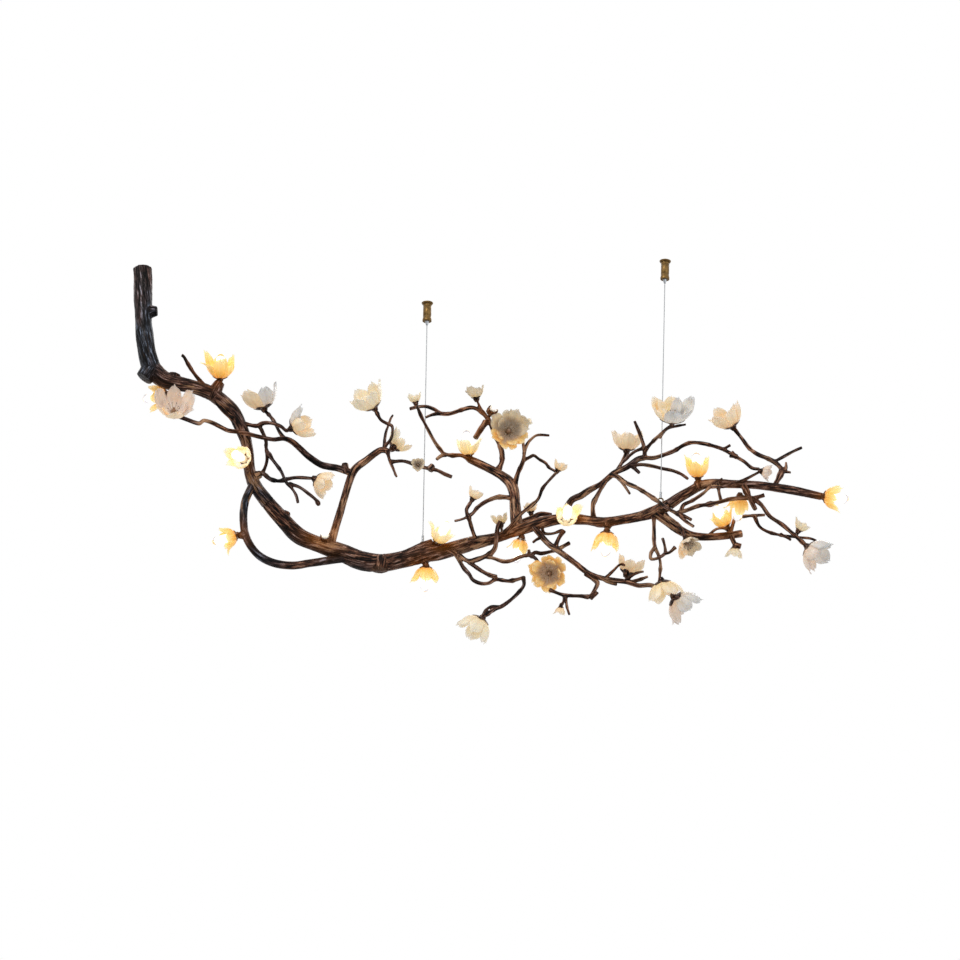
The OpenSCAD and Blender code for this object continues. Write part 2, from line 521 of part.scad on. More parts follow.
module petals_of(f) {
    r = f[2];
    core_r = f[4] == 1 ? socket_d / 2 : centre_r(r);
    inner_r = r - petal_t - 2 * seat_gap;
    placed(f) translate([0, 0, ball_z + r]) for (k = [0:2]) {
        rotate([0, 0, 120 * k]) petal(r, core_r + core_gap, f[3]);
        rotate([0, 0, 120 * k + 60]) petal(inner_r, core_r + core_gap, f[3] * inner_share);
    }
}

module petals(group) {
    color(porcelain) for (f = group) petals_of(f);
}

function centre_r(r) = r * 0.09 + 0.8;
function neck_r(f) = f[2] == 0 ? cup_neck_r : min(cup_neck_r, f[2] * 0.3 + 1);

// Bronze cup that a blossom is bedded in, on its stalk
module flower_cup(f) {
    r = f[2];
    neck = f[4] == 1 ? cup_neck_r : neck_r(f);
    placed(f) {
        translate([0, 0, cup_foot])
            cylinder(h = ball_z - cup_foot - 2, r1 = neck * 0.6, r2 = neck);
        translate([0, 0, ball_z - 2]) cylinder(h = 2, r = neck);
        if (r > 0) translate([0, 0, ball_z + r]) rotate_extrude() intersection() {
            difference() {
                circle(r + seat_gap + cup_t);
                circle(r + seat_gap);
            }
            polygon([[0, 0], [0, -2 * r], [2 * r * tan(cup_angle), -2 * r]]);
        }
    }
    if (norm(f[0] - f[5]) > 3) rod(f[5], f[0], neck);
}

// Ring of bark round a bulb that has no petals
module bark_ring(f) {
    placed(f) difference() {
        translate([0, 0, ball_z - 2]) cylinder(h = socket_len, d = socket_d + 6);
        translate([0, 0, ball_z]) cylinder(h = socket_len, d = socket_d + 2 * seat_gap);
    }
}

module flower_cups() {
    color(bark_red) {
        for (f = blooms) flower_cup(f);
        for (f = bare_lamps) bark_ring(f);
    }
}

module lamp_sockets() {
    color("#e9e6df") for (f = lamps) placed(f) translate([0, 0, ball_z]) difference() {
        cylinder(h = socket_len, d = socket_d);
        for (side = [-1, 1]) translate([side * pin_pitch / 2, 0, socket_len - pin_len - 0.5])
            cylinder(h = pin_len + 1, d = pin_d + slide_play, $fn = 24);
    }
}

module flower_centres() {
    color("#8d7f5c") for (f = blooms) if (f[4] == 0) placed(f) translate([0, 0, ball_z]) {
        cylinder(h = f[2] * 0.3, r1 = centre_r(f[2]), r2 = centre_r(f[2]) * 0.7);
        translate([0, 0, f[2] * 0.3]) sphere(centre_r(f[2]));
    }
}

// Capsule bulb: glass with a round tip, pressed neck, and two pins
module bulb(f) {
    r = bulb_d / 2;
    neck = min(r, socket_d / 2) * 0.8;
    color(glass) placed(f) translate([0, 0, glass_z]) {
        rotate_extrude() union() {
            square([neck, 6]);
            polygon([[0, 5], [neck, 5], [r, 10], [r, bulb_len - r], [0, bulb_len - r]]);
            translate([0, bulb_len - r]) intersection() {
                circle(r);
                square(r);
            }
        }
        for (side = [-1, 1]) translate([side * pin_pitch / 2, 0, -pin_len])
            cylinder(h = pin_len + 1, d = pin_d, $fn = 24);
    }
}

// ---- Bough ----
module trunk() {
    color(bark) difference() {
        one_skin() {
            tube(trunk_route, 12);
            stub(trunk_route, [315, 622], -4, 34, 18);
            stub(trunk_route, [288, 757], 0, 40, 34);
        }
        translate([0, 0, -bush_len]) cylinder(h = bush_len + 30, d = bush_d - 0.2);
        translate([-60, -60, 0]) cube([120, 120, 40]);
    }
}

module main_limb_left() {
    color(bark) one_skin() {
        tube(left_route, limb_sides);
        stub(left_route, [440, 765], 0, 30, 21);
        stub(left_route, [350, 747], -3, 29, 21);
        stub(left_route, [522, 948], -4, 20, 15);
        stub(left_route, [493, 942], -6, 21, 15);
    }
}

module main_limb_middle() {
    color(bark) one_skin() {
        tube(middle_route, limb_sides);
        stub(middle_route, [758, 1140], 0, 40, 34);
        stub(middle_route, [574, 1024], 0, 26, 16);
        stub(middle_route, [852, 1126], 0, 26, 16);
        tube(left_strand, 8);
    }
}

module main_limb_right() {
    color(bark_red) one_skin() {
        tube(right_route, limb_sides);
        tube(back_strand, 8);
        stub(right_route, [1214, 1056], 0, 20, 15);
        stub(right_route, [1324, 1026], 0, 24, 20);
    }
}

module upper_fork() {
    color(bark) one_skin() {
        tube(upper_fork_route, limb_sides);
        stub(upper_fork_route, [1396, 962], 0, 22, 16);
    }
}

module lower_fork() {
    color(bark_red) one_skin() tube(lower_fork_route, limb_sides);
}

module loop_limb() {
    color(bark_red) one_skin() {
        tube(loop_route, 8);
        stub(loop_route, [478, 1070], 0, 16, 14);
    }
}

module bridge_limb() {
    color(bark_red) one_skin() tube(bridge_route, 8);
}

module left_limb() {
    color(bark) one_skin() {
        tube(left_limb_route, 8);
        stub(left_limb_route, [690, 927], 0, 16, 13);
    }
}

module crown_limb() {
    color(bark_red) one_skin() tube(crown_route, limb_sides);
}

module upper_right_limb() {
    color(bark) one_skin() tube(upper_right_route, 8);
}

module lower_long_limb() {
    color(bark) one_skin() tube(lower_long_route, 8);
}

module left_twigs() {
    color(bark) one_skin() tubes([elbow_twig, perch_twig, shelf_twig, drop_twig,
        drop_side_twig, tie_twig, berry_twig], twig_sides);
}

module bridge_twigs() {
    color(bark) one_skin() tubes([fork_up_twig, fork_back_twig, arm_drop_twig,
        arm_long_twig, arm_knot_twig], twig_sides);
}

module crown_twigs() {
    color(bark_red) one_skin() tubes([crown_left_twig, crown_left_stub, crown_rise_twig,
        crown_reach_twig, crown_reach_side, bud_twig, cut_twig, crown_right_twig,
        crown_right_side, crown_far_twig, crown_low_twig, crown_low_side,
        crown_prop_twig], twig_sides);
}

module middle_twigs() {
    color(bark) one_skin() tubes([cross_twig, near_flower_twig, knee_twig, blunt_twig,
        nail_twig], twig_sides);
}

module hanging_twigs() {
    color(bark) one_skin() tubes([under_twig, under_long_twig, under_short_twig,
        under_right_twig, under_right_stub, copper_twig, hang_twig, hang_side, return_twig,
        return_spur, bud_drop_twig, bare_drop_twig], twig_sides);
}

module upper_right_twigs() {
    color(bark) one_skin() tubes([prop_twig, arch_twig, arch_spur, arch_knot, horn_twig,
        blossom_twig, blossom_side, sling_twig, peach_twig, amber_twig, amber_spur],
        twig_sides);
}

module fork_twigs() {
    color(bark_red) one_skin() tubes([dive_twig, dive_side, dive_split, shelf_right_twig,
        far_twig, ribbon_twig, ribbon_end, ribbon_tie, down_spur, claw_twig, claw_side,
        claw_spur, claw_tip], twig_sides);
}

module lower_right_twigs() {
    color(bark) one_skin() tubes([plumb_twig, plumb_loop, plumb_side, grey_twig, hook_twig,
        trail_twig, trail_split, trail_bud, foot_twig, foot_knob, thread_twig, step_twig,
        comb_twig, comb_low_twig, nip_twig], twig_sides);
}

// ---- Ceiling fixings ----
module trunk_bush() {
    color(steel) translate([0, 0, -bush_len]) difference() {
        cylinder(h = bush_len, d = bush_d);
        translate([0, 0, bush_len - bush_bore_len]) cylinder(h = bush_bore_len + 1, d = bush_bore_d);
    }
}

// Point of a limb under a gripper: [x, y, z, thickness]
function under(route, x) =
    let(p = [for (q = route) concat(seat(q), [q[3] * limb_scale])])
    let(i = [for (k = [0:len(p) - 2]) if (p[k][0] <= x && p[k + 1][0] > x) k][0])
    p[i] + (p[i + 1] - p[i]) * (x - p[i][0]) / (p[i + 1][0] - p[i][0]);

limb_chain = concat(left_route, middle_route, right_route, upper_fork_route);
left_anchor = under(limb_chain, left_gripper_x * pattern_scale);
right_anchor = under(limb_chain, right_gripper_x * pattern_scale);

nipple_flange_d = nipple_d + 3.5;
nipple_flange_t = 2;
// Height of the nipple's straight neck below the barrel
nipple_neck = 2.9;
barrel_bore_d = cap_boss_d + slide_play;
collet_z = -cap_t - barrel_len + barrel_floor + nipple_flange_t + seat_gap;
collet_top = collet_z + collet_len;
boss_z = -cap_t - cap_boss_len;

module hung(anchor) {
    translate([anchor[0], anchor[1], 0]) children();
}

module ceiling_cap(anchor) {
    color(bronze) hung(anchor) difference() {
        union() {
            translate([0, 0, -cap_t]) cylinder(h = cap_t, d1 = cap_d - 2, d2 = cap_d);
            translate([0, 0, boss_z]) cylinder(h = cap_boss_len, d = cap_boss_d);
        }
        translate([0, 0, boss_z - 1]) cylinder(h = cap_boss_len + cap_t + 2, d = cap_screw_d);
        translate([0, 0, boss_z - 0.01])
            cylinder(h = cap_screw_d / 2, d1 = cap_screw_d * 2, d2 = cap_screw_d);
    }
}

module gripper_barrel(anchor) {
    color(bronze) hung(anchor) translate([0, 0, -cap_t - barrel_len]) difference() {
        union() {
            cylinder(h = barrel_len, d = barrel_d);
            cylinder(h = 5, d = barrel_lip_d);
            translate([0, 0, 5]) cylinder(h = 2, d1 = barrel_lip_d, d2 = barrel_d);
        }
        translate([0, 0, barrel_floor]) cylinder(h = barrel_len, d = barrel_bore_d);
        translate([0, 0, -1]) cylinder(h = barrel_floor + 2, d = nipple_d + slide_play);
    }
}

module grip_collet(anchor) {
    color(steel) hung(anchor) translate([0, 0, collet_z]) difference() {
        cylinder(h = collet_len, d1 = nipple_flange_d - 1, d2 = barrel_bore_d - 4 * seat_gap);
        translate([0, 0, -1]) cylinder(h = collet_len + 2, d = wire_d + 2 * seat_gap);
    }
}

// Coil that presses the collet down, below the cap's boss and clear of the collet's travel
module collet_spring(anchor) {
    coil_r = barrel_bore_d / 2 - spring_wire_d / 2 - 1;
    low = collet_top + nipple_travel + seat_gap + spring_wire_d / 2;
    high = boss_z - spring_wire_d / 2 - seat_gap;
    turns = 4;
    steps = turns * 12;
    sides = 6;
    points = [for (i = [0:steps]) let(a = 360 * turns * i / steps, z = low + (high - low) * i / steps)
        for (k = [0:sides - 1]) let(b = 360 * k / sides, q = coil_r + spring_wire_d / 2 * cos(b))
            [q * cos(a), q * sin(a), z + spring_wire_d / 2 * sin(b)]];
    walls = [for (i = [0:steps - 1]) for (k = [0:sides - 1])
        let(m = i * sides + k, n = i * sides + (k + 1) % sides)
        [m, m + sides, n + sides, n]];
    ends = [[for (k = [0:sides - 1]) k], [for (k = [sides - 1:-1:0]) steps * sides + k]];
    hung(anchor) polyhedron(points = points, faces = concat(walls, ends), convexity = 8);
}

module collet_springs() {
    color(steel) for (anchor = [left_anchor, right_anchor]) collet_spring(anchor);
}

module release_nipple(anchor) {
    floor_z = -cap_t - barrel_len;
    color(steel) hung(anchor) difference() {
        union() {
            translate([0, 0, floor_z - 2]) cylinder(h = barrel_floor + 2 + seat_gap, d = nipple_d);
            translate([0, 0, floor_z + barrel_floor + seat_gap])
                cylinder(h = nipple_flange_t - seat_gap, d = nipple_flange_d);
            translate([0, 0, floor_z - nipple_out])
                cylinder(h = nipple_out - nipple_neck, d1 = nipple_d * 0.5, d2 = nipple_d);
            translate([0, 0, floor_z - nipple_neck]) cylinder(h = 1, d = nipple_d);
        }
        translate([0, 0, floor_z - nipple_out - 1])
            cylinder(h = nipple_out + barrel_floor + 4, d = wire_d + 2 * seat_gap);
    }
}

function eye_z(anchor) = anchor[2] + anchor[3] / 2 + eye_inner_d / 2 + eye_rod_d;

module suspension_wire(anchor) {
    top = boss_z - 3;
    low = eye_z(anchor) + eye_inner_d / 2;
    color(steel) hung(anchor) translate([0, 0, low]) cylinder(h = top - low, d = wire_d, $fn = 24);
}

// Crimped sleeve with the wire's thimble below it, which hangs in the screw eye
module wire_ferrules() {
    color("#8f9398") for (anchor = [left_anchor, right_anchor])
        hung(anchor) translate([0, 0, eye_z(anchor) + eye_inner_d / 2 + eye_rod_d / 2])
            difference() {
                cylinder(h = ferrule_len, d = ferrule_d);
                translate([0, 0, -1]) cylinder(h = ferrule_len + 2, d = wire_d, $fn = 24);
            }
}

module limb_eyes() {
    color(bronze) for (anchor = [left_anchor, right_anchor]) hung(anchor) {
        translate([0, 0, eye_z(anchor)]) rotate([90, 0, 0]) rotate_extrude()
            translate([eye_inner_d / 2 + eye_rod_d / 2, 0]) circle(d = eye_rod_d, $fn = 24);
        translate([0, 0, anchor[2]])
            cylinder(h = eye_z(anchor) - anchor[2] - eye_inner_d / 2 - eye_rod_d * 0.3, d = eye_rod_d);
    }
}

trunk();
main_limb_left();
main_limb_middle();
main_limb_right();
upper_fork();
lower_fork();
loop_limb();
bridge_limb();
left_limb();
crown_limb();
upper_right_limb();
lower_long_limb();
left_twigs();
bridge_twigs();
crown_twigs();
middle_twigs();
hanging_twigs();
upper_right_twigs();
fork_twigs();
lower_right_twigs();
trunk_bush();
ceiling_cap(left_anchor);  // ceiling_cap_left
ceiling_cap(right_anchor);  // ceiling_cap_right
gripper_barrel(left_anchor);  // gripper_barrel_left
gripper_barrel(right_anchor);  // gripper_barrel_right
grip_collet(left_anchor);  // grip_collet_left
grip_collet(right_anchor);  // grip_collet_right
collet_springs();
release_nipple(left_anchor);  // release_nipple_left
release_nipple(right_anchor);  // release_nipple_right
suspension_wire(left_anchor);  // suspension_wire_left
suspension_wire(right_anchor);  // suspension_wire_right
wire_ferrules();
limb_eyes();
flower_cups();
lamp_sockets();
flower_centres();
petals(elbow_blooms);  // petals_elbow
petals(left_blooms);  // petals_left
petals(without(crown_blooms, 0));  // petals_crown
petals(middle_blooms);  // petals_middle
petals(without(right_blooms, 3));  // petals_right
petals(without(far_right_blooms, 0));  // petals_far_right
petals(upper_blooms);  // petals_upper
bulb(lamps[0]);  // bulb_01
bulb(lamps[1]);  // bulb_02
bulb(lamps[2]);  // bulb_03
bulb(lamps[3]);  // bulb_04
bulb(lamps[4]);  // bulb_05
bulb(lamps[5]);  // bulb_06
bulb(lamps[6]);  // bulb_07
bulb(lamps[7]);  // bulb_08
bulb(lamps[8]);  // bulb_09
bulb(lamps[9]);  // bulb_10
bulb(lamps[10]);  // bulb_11
bulb(lamps[11]);  // bulb_12
bulb(lamps[12]);  // bulb_13
bulb(lamps[13]);  // bulb_14
bulb(lamps[14]);  // bulb_15
bulb(lamps[15]);  // bulb_16
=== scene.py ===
import itertools
import math

import bpy
import numpy as np
from mathutils import Matrix, Vector


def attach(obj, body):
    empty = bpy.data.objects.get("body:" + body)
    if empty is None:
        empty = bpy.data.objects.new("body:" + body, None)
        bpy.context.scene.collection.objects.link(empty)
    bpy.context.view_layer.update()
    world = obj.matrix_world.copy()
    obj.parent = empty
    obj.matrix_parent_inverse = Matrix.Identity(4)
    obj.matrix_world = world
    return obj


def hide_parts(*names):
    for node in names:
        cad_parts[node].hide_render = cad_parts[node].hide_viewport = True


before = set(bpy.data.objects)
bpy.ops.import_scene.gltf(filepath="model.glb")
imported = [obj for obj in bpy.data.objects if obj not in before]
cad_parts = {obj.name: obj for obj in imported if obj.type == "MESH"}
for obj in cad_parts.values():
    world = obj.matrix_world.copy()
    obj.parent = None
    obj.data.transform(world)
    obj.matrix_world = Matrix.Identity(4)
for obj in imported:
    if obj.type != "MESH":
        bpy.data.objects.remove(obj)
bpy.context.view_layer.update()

MM = 0.001
TURN = 2 * math.pi

# ---- The board that the bough was laid out on ----
BOARD_TILT = math.radians(25)
BOARD_ROLL = math.radians(1.1)
BOARD_ZERO = (285, 536)
PHOTO_SIDE = 960
BOARD_PER_PIXEL = 2


def off_board(across, up, fore):
    """Turns a step on the board, and one towards the front, into a step in space."""
    x = across * math.cos(BOARD_ROLL) - up * math.sin(BOARD_ROLL)
    v = across * math.sin(BOARD_ROLL) + up * math.cos(BOARD_ROLL)
    tilt, lift = math.sin(BOARD_TILT), math.cos(BOARD_TILT)
    return np.array([x, -tilt * v - lift * fore, lift * v - tilt * fore])


def unit(v):
    v = np.asarray(v, float)
    return v / np.linalg.norm(v, axis=-1, keepdims=True)


def stand(name, data):
    """Puts an object with this mesh, lamp or camera into the scene."""
    made = bpy.data.objects.new(name, data)
    bpy.context.scene.collection.objects.link(made)
    return made


# ---- Camera and lamps ----
CAMERA_BACK = 1.5
CAMERA_REACH = (0.05, 30)


def make_camera():
    """Camera square to the board, so that one picture width is the board's width."""
    half = PHOTO_SIDE / 2 * BOARD_PER_PIXEL
    right, up, back = off_board(1, 0, 0), off_board(0, 1, 0), off_board(0, 0, 1)
    middle = right * (half - BOARD_ZERO[0]) + up * (BOARD_ZERO[1] - half)
    data = bpy.data.cameras.new("camera")
    data.type = "ORTHO"
    data.ortho_scale = 2 * half * MM
    data.clip_start, data.clip_end = CAMERA_REACH
    camera = stand("camera", data)
    camera.matrix_world = Matrix(np.column_stack([right, up, back]).tolist()).to_4x4()
    camera.location = middle * MM + back * CAMERA_BACK
    bpy.context.scene.camera = camera


make_camera()


def light(name, place, target, size, power, tint):
    """Soft square lamp that looks at the target; places in metres."""
    data = bpy.data.lights.new(name, "AREA")
    data.size, data.energy, data.color = size, power, tint
    lamp = stand(name, data)
    lamp.location = place
    lamp.rotation_euler = (Vector(target) - Vector(place)).to_track_quat("-Z", "Y").to_euler()


def colour(code):
    """Linear colour of a written one such as #8a5a3c."""
    parts = [int(code[i:i + 2], 16) / 255 for i in (1, 3, 5)]
    return tuple(c / 12.92 if c < 0.04045 else ((c + 0.055) / 1.055) ** 2.4 for c in parts)


# ---- Shader maths ----
class Value:
    """A socket that takes part in sums."""

    def __init__(self, paint, socket):
        self.paint, self.socket = paint, socket

    def __add__(self, other):
        return self.paint.sum("ADD", self, other)

    def __mul__(self, other):
        return self.paint.sum("MULTIPLY", self, other)

    def __sub__(self, other):
        return self.paint.sum("SUBTRACT", self, other)

    def __rsub__(self, other):
        return self.paint.sum("SUBTRACT", other, self)

    __radd__ = __add__
    __rmul__ = __mul__


class Paint:
    """The nodes of one material, or of the world."""

    def __init__(self, owner):
        owner.use_nodes = True
        self.tree = owner.node_tree
        self.tree.nodes.clear()

    def node(self, kind, settings, sockets, output=0):
        """Adds a node: its settings first, then a value or a link for each named socket."""
        made = self.tree.nodes.new(kind)
        for name, value in settings.items():
            if name == "stops":
                ramp = made.color_ramp
                while len(ramp.elements) < len(value):
                    ramp.elements.new(1)
                for element, (place, shade) in zip(ramp.elements, value):
                    element.position = place
                    element.color = (*colour(shade), 1)
            else:
                setattr(made, name, value)
        for name, value in sockets.items():
            if isinstance(value, Value):
                self.tree.links.new(value.socket, made.inputs[name])
            else:
                made.inputs[name].default_value = value
        return Value(self, made.outputs[output]) if len(made.outputs) else made

    def sum(self, operation, a, b):
        return self.node("ShaderNodeMath", {"operation": operation}, {0: a, 1: b})

    def kept(self, value):
        """The value held between 0 and 1."""
        return self.node("ShaderNodeClamp", {}, {"Value": value})

    def mix(self, a, b, factor, way="MIX"):
        shades = {6: self.shade(a), 7: self.shade(b), 0: factor}
        return self.node("ShaderNodeMix", {"data_type": "RGBA", "blend_type": way}, shades, 2)

    def shade(self, value):
        return (*colour(value), 1) if isinstance(value, str) else value

    def ramp(self, factor, *stops):
        return self.node("ShaderNodeValToRGB", {"stops": stops}, {"Fac": factor})

    def stored(self, name, output="Fac"):
        """What the mesh holds under this name at each point."""
        return self.node("ShaderNodeAttribute", {"attribute_name": name}, {}, output)

    def scaled(self, vector, by):
        return self.node("ShaderNodeVectorMath", {"operation": "MULTIPLY"}, {0: vector, 1: by})

    def noise(self, vector, by, detail=4, roughness=0.55):
        return self.node("ShaderNodeTexNoise", {}, {"Vector": self.scaled(vector, by), "Scale": 1,
                         "Detail": detail, "Roughness": roughness})

    def place(self):
        """Point of the piece itself, so that a pattern stays on a piece that moves."""
        return self.node("ShaderNodeTexCoord", {}, {}, "Object")

    def bump(self, height, distance, strength=1):
        return self.node("ShaderNodeBump", {}, {"Height": height, "Distance": distance,
                         "Strength": strength})

    def surface(self, sockets):
        """Closes the material with one surface shader."""
        skin = self.node("ShaderNodeBsdfPrincipled", {}, sockets)
        self.node("ShaderNodeOutputMaterial", {}, {"Surface": skin})


def material(name, painter, *settings):
    made = bpy.data.materials.new(name)
    painter(Paint(made), *settings)
    return made


def cast_bark(p):
    """Patinated bronze bark: near-black hollows, brown skin, copper where it is rubbed, painted
    highlights along the ridges and painted orange bulb light near the lamps.
    """
    grain = p.stored("grain", "Vector")
    warmth, ridge, worn = p.stored("warmth"), p.stored("ridge"), p.stored("worn")
    glow, cut = p.stored("glow"), p.stored("cut")
    long = p.noise(grain, (0.035, 0.3, 0.3), 6, 0.62)
    fine = p.noise(grain, (0.16, 1.3, 1.3), 5, 0.6)
    patch = p.noise(grain, (0.012, 0.05, 0.05), 3)
    band = p.noise(grain, (0.02, 0.2, 0.2), 4, 0.6)
    # Lighter streaks along the grain on the ridges: partly the bark's own striation, partly painted
    # highlight.
    striation_and_highlight = p.kept(long * 3.8 - 1.5) * p.kept(ridge * 2.2 - 0.55)
    cold = p.ramp(striation_and_highlight, (0.0, "#030304"), (0.3, "#08090d"), (0.65, "#212732"), (1.0, "#7b8599"))
    warm = p.ramp(striation_and_highlight, (0.0, "#050302"), (0.2, "#1e0f09"), (0.5, "#673c26"), (0.9, "#bd8a66"))
    body = p.mix(cold, warm, p.kept(warmth * 1.3 + patch * 0.9 - 0.55))
    rub = p.kept((band + worn * 0.2 - 0.62) * 9) * p.kept(worn * 1.1 + 0.1)
    bare = p.mix(body, p.ramp(fine, (0.3, "#8a5836"), (0.7, "#e0b48c")), rub)
    # Painted orange light of the nearby bulbs, laid on the bark colour.
    lit = p.mix(bare, "#c8761e", p.kept(glow * (fine * 1.2 - 0.1)))
    ends = p.mix(lit, p.ramp(fine, (0.3, "#2c1a10"), (0.75, "#7d573a")), cut * p.kept(warmth))
    p.surface({
        "Base Color": ends, "Metallic": 0.3, "Specular IOR Level": 0.12,
        "Roughness": p.kept(0.56 - rub * 0.15 - striation_and_highlight * 0.16),
        "Coat Weight": p.kept(striation_and_highlight * 0.4 + rub * 0.2), "Coat Roughness": 0.28,
        "Normal": p.bump(fine * 0.6 + long, 0.0014)})


def porcelain(p):
    """Thin glazed petals: tint and painted light are stored per point, veins run to the tip."""
    leaf = p.stored("leaf", "Vector")
    tint, shine = p.stored("tint", "Color"), p.stored("shine", "Color")
    veins = p.noise(leaf, (0.9, 0.07, 1), 3)
    cloud = p.noise(leaf, (0.16, 0.12, 1), 3)
    veined = p.mix(tint, "#fffdf6", p.kept(veins * 2 - 0.8) * 0.5)
    body = p.mix(veined, "#f0cf9c", p.kept(cloud * 1.6 - 0.75) * 0.6, "MULTIPLY")
    p.surface({
        "Base Color": body, "Roughness": p.kept(0.24 + cloud * 0.2), "Subsurface Weight": 0.35,
        "Subsurface Scale": 0.004, "Subsurface Radius": (1, 0.75, 0.5),
        "Specular IOR Level": 0.35, "Coat Weight": 0.12, "Coat Roughness": 0.12,
        # The emission is painted light: the petals are no lamp.
        "Emission Color": shine, "Emission Strength": 1.0, "Alpha": p.stored("body"),
        "Normal": p.bump(veins + cloud * 0.4, 0.0004)})


def pistil_clay(p):
    tint = p.stored("tint", "Color")
    grit = p.noise(p.place(), (900, 900, 900), 3)
    p.surface({
        "Base Color": p.mix(tint, "#6d5a4a", p.kept(grit * 1.4 - 0.5) * 0.5, "MULTIPLY"),
        "Roughness": p.kept(0.4 + grit * 0.3), "Normal": p.bump(grit, 0.0002)})


def metal(p, dark, bright, rubbed, roughness, brush):
    """Turned metal: fine turning lines, cloudy patina and rubbed highlights."""
    place = p.place()
    lines = p.noise(place, brush, 4)
    cloud = p.noise(place, (160, 160, 160), 5, 0.65)
    tone = p.mix(dark, bright, p.kept(cloud * 1.8 - 0.4))
    p.surface({
        "Base Color": p.mix(tone, rubbed, p.kept(lines * 2.2 - 1.1) * p.kept(cloud * 1.6 - 0.2)),
        "Metallic": 0.9, "Roughness": p.kept(roughness + (lines - 0.5) * 0.25),
        "Normal": p.bump(lines + cloud * 0.5, 0.0002)})


def glazed_ceramic(p):
    cloud = p.noise(p.place(), (220, 220, 220), 4)
    p.surface({
        "Base Color": p.ramp(cloud, (0.3, "#d9d4c8"), (0.7, "#f1ece1")),
        "Roughness": p.kept(0.3 + cloud * 0.3), "Normal": p.bump(cloud, 0.0003)})


def bulb_core(p):
    """Frosted inner tube with its glowing strips."""
    rings = p.noise(p.stored("leaf", "Vector"), (3, 30, 1), 2)
    p.surface({
        "Base Color": p.shade("#fff6dd"), "Roughness": 0.4,
        "Emission Color": p.ramp(rings, (0.3, "#ffe6b0"), (0.6, "#fffaf0")),
        "Emission Strength": 1.8})


def clear_glass(p):
    ripple = p.noise(p.place(), (90, 90, 60), 2)
    p.surface({
        "Base Color": p.shade("#e4e1e8"), "Transmission Weight": 1.0, "IOR": 1.45,
        "Roughness": p.kept(ripple * 0.06), "Normal": p.bump(ripple, 0.0002)})


def matt_floor(p):
    cloud = p.noise(p.place(), (3, 3, 3), 4)
    p.surface({"Base Color": p.ramp(cloud, (0.3, "#eeeeec"), (0.7, "#f4f4f2")), "Roughness": 0.7})


BARK = material("cast_bark_bronze", cast_bark)
PETALS = material("petal_porcelain", porcelain)
PISTILS = material("pistil_clay", pistil_clay)
OLD_BRONZE = material("gripper_bronze", metal, "#4a3820", "#8a6c3e", "#d8b271", 0.34,
                      (60, 60, 2600))
STEEL = material("brushed_steel", metal, "#8d9196", "#b9bdc2", "#e4e6e8", 0.28, (700, 700, 200))
WIRE = material("wire_steel", metal, "#97999c", "#b4b6b9", "#dcdee0", 0.4, (1200, 1200, 300))
CERAMIC = material("socket_ceramic", glazed_ceramic)
GLOW = material("bulb_core", bulb_core)
GLASS = material("bulb_glass", clear_glass)


# ---- Floor, lamps and world, in metres ----
FLOOR_HALF = 9
FLOOR_Z = -2
BOUGH_MIDDLE = (0.68, 0, -0.42)
# Where each lamp stands, its side, its power and its tint
STUDIO_LAMPS = {
    "key_lamp": ((-0.5, -2.0, 1.1), 1.3, 26, (1, 0.97, 0.93)),
    "fill_lamp": ((2.6, -1.6, -0.3), 1.6, 9, (0.93, 0.96, 1)),
    "back_lamp": ((1.4, 2.2, 1.2), 1.4, 12, (1, 0.98, 0.96))}
# Brightness of the world as a lamp, and as what the camera, gloss and glass see
ROOM_LIGHT, ROOM_SEEN = 0.5, 1


def make_studio():
    mesh = bpy.data.meshes.new("floor")
    corners = [(FLOOR_HALF * x, FLOOR_HALF * y, FLOOR_Z)
               for x, y in ((-1, -1), (1, -1), (1, 1), (-1, 1))]
    mesh.from_pydata(corners, [], [(0, 1, 2, 3)])
    mesh.materials.append(material("matt_floor", matt_floor))
    floor = stand("floor", mesh)
    for name, (place, side, power, tint) in STUDIO_LAMPS.items():
        light(name, place, BOUGH_MIDDLE, side, power, tint)
    world = bpy.data.worlds.new("studio")
    bpy.context.scene.world = world
    p = Paint(world)
    camera, gloss, glass = (p.node("ShaderNodeLightPath", {}, {}, f"Is {ray} Ray")
                            for ray in ("Camera", "Glossy", "Transmission"))
    room, white = (p.node("ShaderNodeBackground", {}, {"Color": (1, 1, 1, 1), "Strength": power})
                   for power in (ROOM_LIGHT, ROOM_SEEN))
    both = p.node("ShaderNodeMixShader", {}, {0: p.kept(camera + gloss + glass), 1: room, 2: white})
    p.node("ShaderNodeOutputWorld", {}, {"Surface": both})
    bpy.context.scene.view_settings.view_transform = "Standard"


make_studio()


# ---- Meshes ----
# Radius of the pinhole that is left where a turned shape meets its own axis
AXIS_R = 0.05


def lattice(points, seed):
    """Smooth noise from 0 to 1 at each row of points, the same on each run."""
    cell = np.floor(points).astype(np.int64)
    part = points - cell
    part = part * part * (3 - 2 * part)
    total = np.zeros(len(points))
    for corner in itertools.product((0, 1), repeat=3):
        at = cell + corner
        mixed = at[:, 0] * 73856093 ^ at[:, 1] * 19349663 ^ at[:, 2] * 83492791 ^ seed * 40503
        mixed = (mixed & 0xFFFFFFFF) * 1274126177 & 0xFFFFFFFF
        mixed = (mixed ^ (mixed >> 15)) * 668265263 & 0xFFFFFFFF
        weight = np.prod(np.where(corner, part, 1 - part), axis=1)
        total += weight * (mixed >> 8) / 0xFFFFFF
    return total


def grid(rows, columns, around):
    """Quads between rows of points; around also joins each row's ends."""
    i, j = np.meshgrid(np.arange(rows - 1), np.arange(columns - (not around)), indexing="ij")
    a, b = i * columns + j, i * columns + (j + 1) % columns
    return np.stack([a, b, b + columns, a + columns], -1).reshape(-1, 4).tolist()


